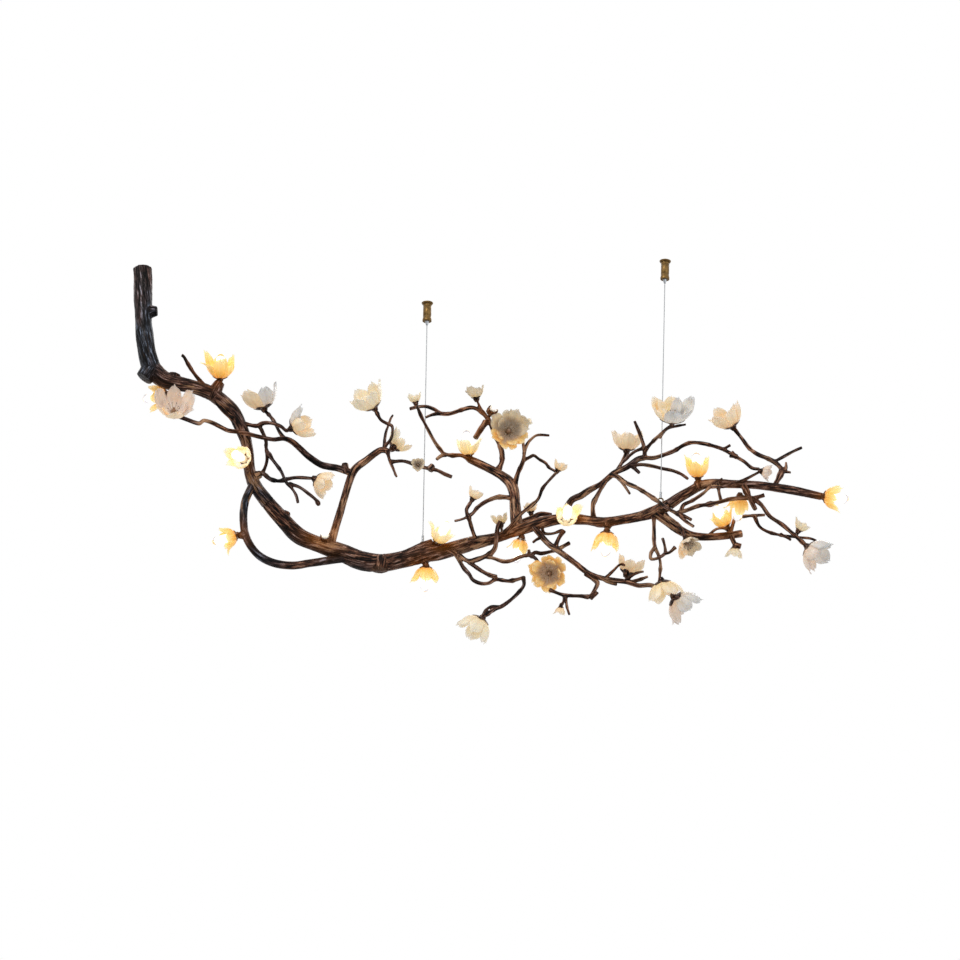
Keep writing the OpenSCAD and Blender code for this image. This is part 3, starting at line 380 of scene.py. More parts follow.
def frames(path):
    """Tangent and two square directions at each point of a path, without a twist."""
    ahead = unit(np.gradient(path, axis=0))
    across = [unit(np.cross(ahead[0], [0.1, 1, 0.05]))]
    for t in ahead[1:]:
        across.append(unit(across[-1] - t * np.dot(across[-1], t)))
    across = np.array(across)
    return ahead, across, np.cross(ahead, across)


def sweep(path, radii, sides):
    """Closed tube along a path, with flat ends."""
    path = np.asarray(path, float)
    radii = np.broadcast_to(radii, len(path))
    _, u, v = frames(path)
    turn = np.arange(sides) * TURN / sides
    ring = u[:, None] * np.cos(turn)[:, None] + v[:, None] * np.sin(turn)[:, None]
    points = path[:, None] + ring * radii[:, None, None]
    last = (len(path) - 1) * sides
    ends = [list(range(sides))[::-1], list(range(last, last + sides))]
    return points.reshape(-1, 3), grid(len(path), sides, True) + ends


def lathe(profile, sides, wave=None):
    """Ring solid from a closed outline of [radius, height]; wave(turn, row) scales the radius."""
    outline = np.array(profile, float)
    turn = np.arange(sides) * TURN / sides
    radius = np.repeat(outline[:, :1], sides, axis=1)
    if wave:
        radius = radius * wave(turn[None, :], np.arange(len(outline))[:, None])
    height = np.repeat(outline[:, 1:], sides, axis=1)
    points = np.stack([radius * np.cos(turn), radius * np.sin(turn), height], -1)
    faces = grid(len(outline) + 1, sides, True)
    count = len(outline) * sides
    return points.reshape(-1, 3), [[k % count for k in face] for face in faces]


def resampled(profile, step):
    """The outline with extra points, so that no stretch is longer than step."""
    out = []
    for a, b in zip(profile, profile[1:] + profile[:1]):
        parts = max(1, math.ceil(math.dist(a, b) / step))
        out += [[a[0] + (b[0] - a[0]) * k / parts, a[1] + (b[1] - a[1]) * k / parts]
                for k in range(parts)]
    return out


def moved(shape, by):
    points, faces = shape
    return points + by, faces


class Mould:
    """Collects the shells of one piece, with the values stored at their points."""

    def __init__(self):
        self.points, self.faces, self.stored, self.skins, self.count = [], [], {}, [], 0

    def add(self, shape, skin=0, **stored):
        points, faces = shape
        self.points.append(points)
        self.faces += [[k + self.count for k in face] for face in faces]
        self.skins += [skin] * len(faces)
        for name, value in stored.items():
            value = np.asarray(value, float)
            if value.ndim < 2 and value.shape != (len(points),):
                value = np.broadcast_to(value, (len(points),) + value.shape)
            self.stored.setdefault(name, []).append(value)
        self.count += len(points)

    def mesh(self, name):
        made = bpy.data.meshes.new(name)
        made.from_pydata((np.concatenate(self.points) * MM).tolist(), [], self.faces)
        for key, parts in self.stored.items():
            store(made, key, np.concatenate(parts))
        return made

    def cast(self, name, body, materials, slot, *nodes):
        made = self.mesh(name)
        made.polygons.foreach_set("material_index", self.skins)
        return piece(made, name, body, materials, slot, *nodes)


def store(mesh, name, values):
    """Stores a number, a place or a colour at each point of a mesh."""
    width = 1 if values.ndim == 1 else values.shape[1]
    kind, field = {1: ("FLOAT", "value"), 3: ("FLOAT_VECTOR", "vector"),
                   4: ("FLOAT_COLOR", "color")}[width]
    layer = mesh.attributes.new(name, kind, "POINT")
    layer.data.foreach_set(field, np.ascontiguousarray(values, np.float32).ravel())


def piece(mesh, name, body, materials, slot, *nodes):
    """Makes a mesh a piece that rides on a body and stands for CAD nodes."""
    for m in materials:
        mesh.materials.append(m)
    mesh.polygons.foreach_set("use_smooth", [True] * len(mesh.polygons))
    made = stand(name, mesh)
    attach(made, body)
    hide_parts(*nodes)
    return made


# ---- The bough's routes, as the solids have them: [across, down, back, thickness] ----
def seat(p):
    """Board place to a point in space; the third number is how far back it is."""
    x, y, z = off_board(p[0] - BOARD_ZERO[0], BOARD_ZERO[1] - p[1], 0)
    slope = math.tan(BOARD_TILT)
    return np.array([x, p[2], z + (p[2] - y) * slope])


def aim(turn, lean):
    """Direction on the board, turned from the right-hand side and leaned to the front."""
    turn, lean = math.radians(turn), math.radians(lean)
    return off_board(math.cos(turn) * math.cos(lean), math.sin(turn) * math.cos(lean),
                     math.sin(lean))


def smooth(route, steps):
    """Smooth curve through the points of a route, with steps between each two."""
    route = np.asarray(route, float)
    last = len(route) - 1
    out = []
    for i in range(last):
        a, b, c, d = (route[k] for k in (max(i - 1, 0), i, i + 1, min(i + 2, last)))
        for t in np.arange(steps) / steps:
            out.append(0.5 * (2 * b + (c - a) * t + (2 * a - 5 * b + 4 * c - d) * t * t
                              + (3 * b - a - 3 * c + d) * t * t * t))
    return np.array(out + [route[last]])


def nearest(route, p):
    """Point of a route that is nearest on the board."""
    route = np.asarray(route)
    return route[np.argmin(np.hypot(route[:, 0] - p[0], route[:, 1] - p[1]))]


def grow(parent, side, lean, d0, d1, points):
    """Twig out of a parent route: side is where it leaves, lean how far it comes back."""
    root = nearest(parent, points[0])
    points = np.array(points, float)
    steps = np.hypot(*np.diff(points, axis=0).T)
    share = np.concatenate([[0], np.cumsum(steps)]) / steps.sum()
    back = root[2] + side * root[3] / 2 + lean * share
    return np.column_stack([points, back, d0 + (d1 - d0) * share])


def stub(parent, to, fore, d0, d1):
    """Stub of a cut side shoot, from the limb's core to the board place."""
    core = nearest(parent, to)
    return np.array([[core[0], core[1], core[2], d0], [to[0], to[1], core[2] + fore, d1]])


# ---- Routes of the limbs ----
trunk_route = smooth([
    [285, 536, 0, 36], [286, 582, 0, 38], [287, 624, 0, 35], [288, 658, 1, 34],
    [294, 704, 4, 36], [303, 738, 10, 40]], 3)
left_route = smooth([
    [303, 738, 10, 40], [330, 760, 18, 34], [380, 772, 30, 29], [416, 784, 40, 28],
    [444, 802, 47, 29], [468, 826, 54, 28], [484, 860, 62, 26], [494, 892, 69, 23],
    [500, 944, 78, 23], [512, 974, 84, 27], [536, 1006, 94, 29]], 3)
middle_route = smooth([
    [536, 1006, 94, 29], [566, 1040, 103, 30], [598, 1072, 110, 33], [640, 1090, 117, 31],
    [680, 1104, 122, 36], [720, 1120, 127, 38], [760, 1126, 131, 36], [800, 1120, 135, 34],
    [844, 1110, 139, 34], [890, 1102, 137, 31], [940, 1088, 125, 29]], 3)
right_route = smooth([
    [940, 1088, 125, 29], [984, 1078, 108, 22], [1016, 1068, 92, 20], [1050, 1056, 76, 24],
    [1090, 1044, 58, 23], [1120, 1038, 42, 22], [1152, 1038, 26, 22], [1180, 1041, 8, 20],
    [1206, 1045, -10, 21], [1240, 1040, -32, 19], [1280, 1033, -58, 20],
    [1310, 1023, -76, 24], [1338, 1009, -87, 23]], 3)
upper_fork_route = smooth([
    [1338, 1009, -87, 23], [1356, 997, -93, 21], [1376, 985, -100, 20],
    [1412, 968, -110, 19], [1464, 968, -122, 17], [1520, 971, -130, 17],
    [1584, 980, -136, 18], [1643, 993, -140, 15]], 3)
lower_fork_route = smooth([
    [1312, 1026, -78, 20], [1336, 1043, -74, 20], [1356, 1058, -68, 19],
    [1380, 1070, -62, 17], [1410, 1074, -56, 15], [1446, 1072, -50, 15],
    [1484, 1067, -44, 15]], 3)
loop_route = smooth([
    [506, 968, 82, 17], [492, 998, 72, 16], [487, 1028, 64, 16], [489, 1062, 60, 16],
    [499, 1088, 60, 16], [518, 1111, 64, 16], [548, 1126, 72, 16], [582, 1131, 84, 16],
    [624, 1126, 98, 16], [664, 1120, 112, 16], [700, 1116, 124, 16]], 3)
bridge_route = smooth([
    [660, 1092, 118, 18], [671, 1055, 112, 16], [681, 1022, 106, 16], [691, 988, 100, 15],
    [701, 955, 94, 16], [712, 936, 90, 16], [732, 921, 84, 14], [748, 908, 78, 14],
    [762, 900, 74, 13], [776, 902, 70, 12]], 3)
left_limb_route = smooth([
    [704, 946, 93, 15], [674, 936, 88, 14], [644, 930, 82, 14], [614, 910, 74, 13],
    [588, 886, 66, 12], [568, 877, 60, 10], [548, 879, 54, 9], [520, 874, 44, 9],
    [480, 864, 30, 9], [456, 861, 20, 9], [430, 848, 8, 9], [408, 841, -2, 8],
    [398, 847, -8, 9], [376, 840, -18, 9], [345, 828, -34, 9]], 2)
crown_route = smooth([
    [1034, 1056, 84, 24], [1030, 1012, 88, 22], [1028, 985, 92, 22], [1020, 965, 96, 22],
    [1000, 949, 101, 18], [972, 934, 106, 17], [938, 918, 110, 15]], 3)
upper_right_route = smooth([
    [1124, 1036, 40, 14], [1142, 1002, 32, 14], [1161, 992, 24, 14], [1179, 980, 14, 13],
    [1198, 970, 4, 11], [1212, 960, -4, 12], [1230, 945, -14, 12], [1254, 934, -24, 12],
    [1275, 919, -33, 12], [1290, 915, -40, 12]], 2)
lower_long_route = smooth(grow(right_route, -0.5, -62, 13, 9, [
    [1068, 1054], [1086, 1076], [1100, 1090], [1116, 1101], [1134, 1114], [1154, 1129],
    [1176, 1146], [1202, 1156], [1232, 1161], [1254, 1164], [1277, 1171], [1298, 1170],
    [1318, 1176], [1344, 1190]]), 2)

# ---- Routes of the twigs, each from its root to its tip ----
elbow_twig = grow(left_route, -0.6, -30, 10, 7, [
    [466, 838], [450, 824], [434, 806], [421, 786], [404, 766], [389, 748], [376, 728],
    [368, 714], [363, 710]])
perch_twig = grow(left_limb_route, 0, 22, 8, 7, [
    [568, 877], [558, 862], [550, 846], [540, 832], [530, 822]])
shelf_twig = grow(left_route, 0, -28, 9, 7, [
    [484, 846], [512, 852], [528, 846], [546, 847], [562, 853], [572, 861], [580, 858]])
drop_twig = grow(shelf_twig, 0, -4, 8, 6, [
    [518, 850], [526, 866], [532, 882], [533, 899], [545, 919], [562, 942], [572, 964],
    [583, 976], [592, 990], [596, 1006]])
drop_side_twig = grow(drop_twig, 0, -14, 7, 7, [
    [578, 968], [598, 974], [618, 988], [632, 1000], [638, 1010]])
tie_twig = grow(drop_twig, 0, 32, 7, 7, [
    [533, 899], [534, 920], [528, 940], [518, 956]])
berry_twig = grow(left_route, 0, -30, 9, 7, [
    [504, 948], [524, 946], [540, 958], [558, 962], [575, 958], [595, 955], [628, 957]])
fork_up_twig = grow(bridge_route, 0, 10, 7, 4.5, [
    [768, 900], [769, 882], [772, 864], [777, 850], [781, 838], [786, 830]])
fork_back_twig = grow(bridge_route, 0, -14, 6, 7, [
    [770, 892], [782, 878], [785, 864], [784, 852], [776, 848], [762, 840], [755, 828],
    [750, 818]])
arm_drop_twig = grow(bridge_route, 0, -8, 8, 4.5, [
    [775, 902], [779, 920], [786, 936], [791, 949], [794, 954]])
arm_long_twig = grow(arm_drop_twig, 0, -4, 7, 8, [
    [781, 924], [803, 922], [818, 925], [836, 932], [858, 937], [875, 941], [889, 948],
    [904, 954]])
arm_knot_twig = grow(arm_long_twig, 0, 0, 12, 12, [[858, 940], [866, 930]])
crown_left_twig = grow(crown_route, -0.3, -56, 9, 6, [
    [940, 920], [923, 911], [905, 911], [889, 908], [883, 902], [869, 883], [856, 859],
    [844, 836], [834, 812]])
crown_left_stub = grow(crown_left_twig, 0, -6, 8, 7, [[892, 909], [882, 912], [873, 919]])
crown_rise_twig = grow(crown_route, 0, -24, 11, 9, [
    [994, 944], [1003, 926], [1004, 908], [1000, 892], [990, 870], [982, 850], [976, 836]])
crown_reach_twig = grow(crown_rise_twig, 0, 24, 9, 7, [
    [978, 842], [968, 828], [956, 819], [942, 815], [922, 820], [901, 827], [883, 827],
    [869, 819], [852, 813], [834, 814], [819, 818]])
crown_reach_side = grow(crown_reach_twig, 0, 4, 7, 6, [[883, 827], [866, 829], [851, 835]])
bud_twig = grow(crown_reach_twig, 0, -6, 6, 5, [[962, 820], [957, 808], [953, 800]])
cut_twig = grow(crown_rise_twig, 0, -10, 12, 12, [[972, 844], [962, 858], [951, 876]])
crown_right_twig = grow(crown_route, 0, -36, 11, 6, [
    [1028, 974], [1036, 946], [1045, 926], [1048, 909], [1046, 884]])
crown_right_side = grow(crown_right_twig, 0, -12, 7, 5, [
    [1048, 908], [1054, 889], [1064, 877], [1076, 870], [1099, 871]])
crown_far_twig = grow(crown_right_twig, 0, -18, 7, 6, [
    [1046, 922], [1060, 914], [1068, 911], [1079, 919], [1091, 926], [1099, 936],
    [1114, 944]])
crown_low_twig = grow(crown_route, 0, -34, 11, 5, [
    [1026, 996], [999, 994], [983, 998], [967, 1006], [954, 1016], [946, 1026],
    [934, 1034], [922, 1039], [909, 1042]])
crown_low_side = grow(crown_low_twig, 0, -4, 8, 7, [
    [936, 1034], [933, 1020], [938, 1010], [944, 1001]])
crown_prop_twig = grow(crown_low_twig, 0, 50, 8, 9, [
    [937, 1033], [940, 1044], [944, 1058], [951, 1078]])
cross_twig = grow(right_route, -0.9, -50, 9, 6, [
    [1010, 1066], [1030, 1042], [1044, 1026], [1064, 1010], [1077, 997], [1085, 977],
    [1099, 960], [1113, 945]])
back_strand = grow(right_route, 0.6, 14, 14, 9, [
    [1012, 1066], [1040, 1046], [1064, 1036], [1082, 1028], [1104, 1030]])
left_strand = grow(middle_route, -0.5, 8, 12, 14, [
    [786, 1116], [815, 1104], [842, 1092], [865, 1084]])
under_twig = grow(middle_route, -0.8, -58, 10, 10, [
    [896, 1098], [916, 1110], [936, 1122], [954, 1119], [970, 1113], [980, 1108],
    [990, 1096], [993, 1076], [995, 1058], [1001, 1042]])
under_long_twig = grow(under_twig, 0, -26, 9, 7, [
    [912, 1108], [926, 1134], [938, 1148], [946, 1160], [962, 1167], [978, 1166],
    [992, 1159], [1016, 1162], [1034, 1159], [1048, 1154]])
under_short_twig = grow(under_twig, 0, -12, 8, 9, [
    [938, 1124], [960, 1140], [979, 1150], [994, 1154]])
under_right_twig = grow(under_twig, 0, -42, 8, 7, [
    [972, 1112], [988, 1117], [1007, 1123], [1024, 1121], [1040, 1114], [1056, 1111],
    [1070, 1116], [1080, 1130]])
under_right_stub = grow(under_right_twig, 0, 4, 8, 7, [[1058, 1111], [1058, 1100]])
copper_twig = grow(under_right_twig, 0, 20, 9, 7, [
    [1062, 1113], [1070, 1105], [1082, 1107], [1098, 1104], [1114, 1100]])
hang_twig = grow(under_long_twig, 0, -16, 8, 8, [
    [1046, 1154], [1048, 1170], [1036, 1186], [1020, 1201], [1003, 1213], [987, 1220],
    [966, 1234]])
hang_side = grow(hang_twig, 0, -6, 6, 6, [[999, 1214], [983, 1213], [971, 1221], [965, 1232]])
return_twig = grow(lower_long_route, 0, -26, 9, 7, [
    [1172, 1146], [1188, 1160], [1195, 1167], [1188, 1182], [1179, 1193], [1161, 1192],
    [1136, 1191], [1120, 1188], [1098, 1179]])
return_spur = grow(return_twig, 0, 4, 8, 6, [[1181, 1196], [1190, 1190], [1196, 1185]])
bud_drop_twig = grow(return_twig, 0, -4, 7, 6, [[1129, 1190], [1127, 1203], [1122, 1211]])
bare_drop_twig = grow(return_twig, 0, 6, 7, 5, [[1131, 1192], [1134, 1214], [1139, 1230]])
near_flower_twig = grow(right_route, 0, 6, 7, 6, [
    [1084, 1050], [1088, 1066], [1106, 1067], [1124, 1060]])
knee_twig = grow(lower_long_route, 0, -10, 9, 9, [[1110, 1094], [1118, 1076], [1128, 1060]])
blunt_twig = grow(lower_long_route, 0, 8, 8, 9, [[1114, 1101], [1126, 1093], [1139, 1086]])
nail_twig = grow(lower_long_route, 0, -8, 7, 6, [[1083, 1074], [1072, 1080], [1066, 1085]])
prop_twig = grow(right_route, 0, -8, 10, 8, [
    [1187, 1036], [1186, 1010], [1194, 992], [1204, 974], [1212, 962]])
arch_twig = grow(upper_right_route, 0, -62, 9, 7, [
    [1288, 915], [1306, 916], [1324, 911], [1348, 902], [1366, 891], [1383, 885],
    [1406, 887], [1430, 893], [1447, 899], [1468, 911], [1488, 923], [1504, 936],
    [1519, 938]])
arch_spur = grow(arch_twig, 0, -3, 7, 6, [[1446, 899], [1461, 890]])
arch_knot = grow(arch_twig, 0, -2, 12, 11, [[1462, 908], [1474, 914]])
horn_twig = grow(upper_right_route, 0, -20, 9, 6, [
    [1289, 915], [1289, 899], [1282, 874], [1269, 842]])
blossom_twig = grow(horn_twig, 0, -92, 8, 6, [
    [1289, 902], [1300, 889], [1314, 875], [1330, 860], [1343, 850]])
blossom_side = grow(blossom_twig, 0, -8, 6, 5, [[1318, 876], [1334, 858], [1354, 852],
    [1372, 849]])
sling_twig = grow(horn_twig, 0, 14, 7, 6, [
    [1288, 896], [1270, 903], [1254, 916], [1240, 932]])
peach_twig = grow(upper_right_route, 0, 16, 8, 7, [
    [1232, 945], [1244, 924], [1253, 906]])
amber_twig = grow(upper_right_route, -0.3, -38, 8, 6, [
    [1262, 932], [1281, 929], [1304, 932], [1324, 937], [1344, 941], [1362, 948],
    [1376, 958]])
amber_spur = grow(amber_twig, 0, -4, 8, 7, [[1264, 932], [1279, 946]])
dive_twig = grow(upper_right_route, -0.3, -142, 10, 7, [
    [1222, 950], [1234, 953], [1253, 966], [1275, 976], [1296, 989], [1316, 1003],
    [1334, 1016], [1355, 1028], [1371, 1042], [1387, 1053]])
dive_side = grow(dive_twig, 0, -10, 7, 5, [[1238, 957], [1248, 970], [1260, 988]])
dive_split = grow(dive_twig, 0, -8, 8, 7, [[1356, 1028], [1372, 1034], [1383, 1040]])
shelf_right_twig = grow(dive_twig, 0, -12, 8, 9, [
    [1356, 1026], [1375, 1020], [1396, 1012], [1416, 1009], [1440, 1004], [1462, 998],
    [1492, 996], [1508, 996], [1529, 990]])
far_twig = grow(shelf_right_twig, 0, -16, 9, 8, [
    [1506, 997], [1523, 1010], [1539, 1032], [1564, 1049], [1584, 1066], [1600, 1080],
    [1612, 1091]])
ribbon_twig = grow(shelf_right_twig, 0, -4, 8, 6, [
    [1362, 1023], [1367, 1010], [1385, 1001], [1406, 987], [1418, 976], [1433, 966],
    [1445, 957]])
ribbon_end = grow(ribbon_twig, 0, -10, 7, 6, [
    [1424, 973], [1447, 973], [1471, 966], [1492, 958], [1520, 943]])
ribbon_tie = grow(ribbon_twig, 0, -2, 7, 7, [[1436, 968], [1438, 984], [1442, 1002]])
down_spur = grow(upper_fork_route, -0.4, -10, 12, 9, [[1488, 972], [1500, 998], [1511, 1019]])
claw_twig = grow(upper_fork_route, 0.3, 34, 11, 7, [
    [1548, 974], [1563, 944], [1559, 933], [1547, 923], [1533, 916], [1516, 909],
    [1499, 897], [1486, 880], [1468, 857]])
claw_side = grow(claw_twig, 0, 10, 7, 6, [[1548, 924], [1584, 904], [1604, 895]])
claw_spur = grow(claw_twig, 0, 0, 9, 5, [[1560, 941], [1571, 938], [1572, 924]])
claw_tip = grow(claw_twig, 0, 0, 8, 5, [[1560, 942], [1582, 945]])
plumb_twig = grow(right_route, 0, 18, 9, 6, [
    [1308, 1028], [1308, 1062], [1309, 1090], [1318, 1113], [1321, 1131], [1319, 1158]])
plumb_loop = grow(plumb_twig, 0, -6, 7, 6, [
    [1309, 1096], [1302, 1106], [1302, 1118], [1316, 1116], [1330, 1106], [1329, 1090],
    [1325, 1076]])
plumb_side = grow(plumb_loop, 0, -4, 6, 7, [[1328, 1107], [1339, 1105], [1351, 1094]])
grey_twig = grow(lower_fork_route, -0.9, -18, 9, 7, [
    [1330, 1030], [1346, 1042], [1361, 1054], [1367, 1068], [1370, 1080]])
hook_twig = grow(lower_fork_route, 0, 16, 8, 6, [
    [1460, 1070], [1466, 1048], [1471, 1036], [1487, 1033], [1507, 1031], [1530, 1030]])
trail_twig = grow(hook_twig, 0, 14, 7, 5, [
    [1509, 1032], [1519, 1053], [1537, 1064], [1560, 1070], [1582, 1073], [1601, 1075],
    [1621, 1077], [1633, 1082]])
trail_split = grow(trail_twig, 0, -4, 6, 6, [[1560, 1069], [1572, 1074], [1582, 1080]])
trail_bud = grow(trail_twig, 0, 2, 6, 5, [[1592, 1074], [1596, 1064]])
foot_twig = grow(lower_fork_route, -0.3, -2, 9, 9, [[1462, 1072], [1470, 1090]])
foot_knob = grow(foot_twig, 0, 0, 9, 11, [[1470, 1090], [1482, 1093]])
thread_twig = grow(lower_fork_route, 0, -2, 6, 5, [[1416, 1072], [1433, 1058], [1454, 1057]])
step_twig = grow(lower_long_route, 0, -16, 7, 5, [
    [1210, 1157], [1226, 1142], [1240, 1129], [1250, 1131]])
comb_twig = grow(lower_long_route, 0, -26, 7, 5, [[1250, 1163], [1269, 1148], [1287, 1143]])
comb_low_twig = grow(lower_long_route, 0, -12, 8, 6, [[1258, 1165], [1277, 1160], [1296, 1153]])
nip_twig = grow(lower_long_route, -0.4, -4, 7, 6, [[1200, 1155], [1218, 1165], [1234, 1169]])


# ---- Blossoms ----
class Bloom:
    """A blossom's place, its axis, its petals' ball radius and opening, and its clay.

    Second and side give another clay to the petals on that side, as a turn on the board.
    """

    def __init__(self, parent, back, at, turn, lean, r, opening, lit, clay,
                 second=None, side=None):
        root = nearest(parent, at)
        self.place = seat([at[0], at[1], root[2] + back])
        self.axis = aim(turn, lean)
        self.root = seat(root)
        self.r, self.opening, self.lit = r, opening, lit
        self.clay, self.second, self.side = clay, second, side
        x, y, z = self.axis
        polar, round_z = math.acos(z), math.atan2(y, x)
        cp, sp, cz, sz = math.cos(polar), math.sin(polar), math.cos(round_z), math.sin(round_z)
        tipped = np.array([[cp, 0, sp], [0, 1, 0], [-sp, 0, cp]])
        turned = np.array([[cz, -sz, 0], [sz, cz, 0], [0, 0, 1]])
        self.matrix = turned @ tipped

    def put(self, shape):
        """Moves a shape made round the Z axis to its blossom."""
        points, faces = shape
        return points @ self.matrix.T + self.place, faces


elbow_blooms = [
    Bloom(left_route, 0, [440, 760], 88, 12, 28, 114, 1, "lamp_lit_gold"),
    Bloom(left_route, 34, [338, 788], 192, -10, 24, 104, 1, "lamp_lit_gold"),
    Bloom(left_limb_route, 0, [347, 828], 86, 46, 40, 96, 0, "rose", "peach", 250),
    Bloom(left_route, -16, [490, 920], 150, 62, 24, 104, 1, "lamp_lit_lemon"),
    Bloom(loop_route, 0, [476, 1070], 196, 8, 21, 108, 1, "lamp_lit_gold")]
left_blooms = [
    Bloom(berry_twig, 0, [628, 957], -28, 12, 28, 106, 0, "peach"),
    Bloom(shelf_twig, 0, [581, 858], 26, 10, 34, 102, 0, "peach", "grey", 100),
    Bloom(perch_twig, 0, [529, 820], 108, 0, 37, 104, 0, "grey", "peach", 190),
    Bloom(fork_back_twig, 0, [750, 818], 124, 12, 36, 104, 0, "cream"),
    Bloom(bridge_route, 32, [784, 898], 46, -16, 26, 98, 0, "cream", "butter", 300),
    Bloom(arm_long_twig, -6, [836, 931], 90, 78, 15, 84, 0, "taupe")]
crown_blooms = [
    Bloom(crown_route, 0, [938, 914], 96, 4, 22, 104, 1, "lamp_lit_lemon"),
    Bloom(crown_rise_twig, -22, [1016, 864], 60, 76, 44, 62, 0, "taupe", "amber", 260),
    Bloom(bud_twig, 0, [953, 799], 100, 0, 18, 112, 0, "taupe"),
    Bloom(crown_reach_twig, 6, [832, 808], 104, -4, 14, 112, 0, "cream"),
    Bloom(crown_low_side, 0, [944, 1000], 62, 0, 15, 110, 0, "peach"),
    Bloom(crown_right_twig, 16, [1048, 850], 60, 10, 15, 80, 0, "cream"),
    Bloom(crown_far_twig, 0, [1114, 943], 60, 0, 14, 112, 0, "peach")]
middle_blooms = [
    Bloom(middle_route, 0, [852, 1130], 268, 6, 25, 98, 1, "lamp_lit_gold"),
    Bloom(middle_route, -12, [872, 1086], 60, 20, 21, 108, 1, "lamp_lit_lemon"),
    Bloom(under_right_twig, -14, [1100, 1146], 200, 80, 41, 64, 0, "amber"),
    Bloom(right_route, -14, [1132, 1042], 80, 60, 24, 100, 1, "lamp_lit_lemon"),
    Bloom(right_route, 4, [1044, 1074], 255, -4, 18, 104, 1, "lamp_lit_gold"),
    Bloom(hang_twig, 0, [966, 1234], 236, 8, 36, 104, 0, "cream"),
    Bloom(bud_drop_twig, 0, [1122, 1211], 262, 0, 11, 114, 0, "peach"),
    Bloom(right_route, 26, [1002, 1052], 100, -20, 16, 104, 0, "butter"),
    Bloom(back_strand, 8, [1062, 1028], 96, -10, 14, 108, 0, "peach")]
right_blooms = [
    Bloom(right_route, 0, [1214, 1060], 266, 6, 26, 100, 1, "lamp_lit_gold"),
    Bloom(peach_twig, 0, [1253, 904], 86, 4, 32, 106, 0, "peach"),
    Bloom(blossom_twig, 0, [1344, 846], 86, 24, 47, 88, 0, "sage", "butter", 175),
    Bloom(upper_fork_route, 0, [1396, 958], 94, 10, 23, 114, 1, "lamp_lit_gold"),
    Bloom(grey_twig, 0, [1371, 1082], 300, 40, 28, 80, 0, "taupe", "peach", 190),
    Bloom(lower_long_route, 20, [1252, 1150], 68, -14, 28, 100, 0, "peach"),
    Bloom(plumb_twig, 0, [1322, 1159], 286, 4, 36, 96, 0, "butter"),
    Bloom(lower_long_route, 0, [1346, 1192], -44, -8, 38, 100, 0, "rose", "sage", 20)]
far_right_blooms = [
    Bloom(claw_twig, 0, [1467, 856], 120, 8, 34, 106, 0, "peach"),
    Bloom(ribbon_end, 0, [1521, 942], -12, 8, 16, 104, 0, "rose"),
    Bloom(upper_fork_route, 0, [1644, 993], -6, 4, 24, 106, 1, "lamp_lit_gold"),
    Bloom(shelf_right_twig, 18, [1480, 990], 264, -12, 21, 102, 1, "lamp_lit_gold"),
    Bloom(lower_fork_route, 4, [1454, 1056], 118, 6, 21, 106, 1, "lamp_lit_gold"),
    Bloom(trail_bud, 0, [1596, 1063], 58, 4, 16, 106, 0, "cream"),
    Bloom(far_twig, 0, [1613, 1092], -40, 14, 37, 98, 0, "grey", "rose", 230),
    Bloom(foot_twig, 0, [1470, 1092], 266, 4, 16, 108, 0, "cream")]
bare_lamps = [
    Bloom(middle_route, -10, [652, 1079], 100, 50, 0, 0, 1, "lamp_lit_gold"),
    Bloom(crown_rise_twig, -4, [982, 826], 60, 40, 0, 0, 1, "lamp_lit_gold")]
GROUPS = {
    "petals_elbow": elbow_blooms, "petals_left": left_blooms, "petals_crown": crown_blooms,
    "petals_middle": middle_blooms, "petals_right": right_blooms,
    "petals_far_right": far_right_blooms}
blooms = sum(GROUPS.values(), []) + bare_lamps
# These three close in most, and share a piece of their own
GROUPS["petals_upper"] = [crown_blooms.pop(0), right_blooms.pop(3), far_right_blooms.pop(0)]
lamps = [f for f in blooms if f.lit]

# Heights above the place where a blossom sits on its twig, as the solids have them
CUP_FOOT = -5
BALL_Z = 3
SOCKET_LEN = 11
GLASS_Z = BALL_Z + SOCKET_LEN + 0.2
CUP_NECK_R = 7
CORE_GAP = 1.7
SOCKET_R = 8
BULB_R = 9
BULB_LEN = 40
PETAL_T = 1.5
LAYER_GAP = 0.4

# What each clay is at a petal's foot, its middle and its tip, and inside near the heart
CLAYS = {
    # The two lit clays are painted bulb light: this saturated colour is given only to blossoms with
    # a bulb.
    "lamp_lit_gold": ("#f09a20", "#f9c04c", "#fde6a0", "#fff0c0"),
    "lamp_lit_lemon": ("#f6bb50", "#fbdc96", "#fbf2d4", "#fff8e0"),
    "amber": ("#dba050", "#f5ca78", "#f9e0ac", "#ab917a"),
    "butter": ("#f6cf88", "#fbe0b2", "#f8ecd8", "#f6e4c2"),
    "cream": ("#f6d398", "#fae8c6", "#f4ecdc", "#f4e6cc"),
    "peach": ("#f8c888", "#fbdcb2", "#f6e8d4", "#f6e0c4"),
    "rose": ("#eec29c", "#ecd6c4", "#dccfc8", "#ddcfc6"),
    "grey": ("#f3d0ae", "#e0dad4", "#bfc2c6", "#cfd0d0"),
    "sage": ("#ecc495", "#e6e3de", "#c6c8cc", "#a4a8b0"),
    "taupe": ("#f0d090", "#dccbac", "#c8bcaa", "#8d7c6a")}
# How steeply the petals stand where they leave their ball, in degrees
FLARE = (66, 92)
PETAL_ROWS, PETAL_COLUMNS = 16, 21
# How wide a petal is, as a turn round its ball: the outer ones, and the small inner ring's
PETAL_WIDTH, INNER_WIDTH = 78, 62
INNER_COUNT = 5
INNER_SHARE = 0.62
# Blossoms smaller than this are buds, without the inner ring and with fewer stamens
BUD_R = 20
# Share of its own colour that a petal gives off as painted light, standing in for bulb light through
# the porcelain, round a bulb and elsewhere
LIT_GLOW = 0.34
DIM_GLOW = 0.16
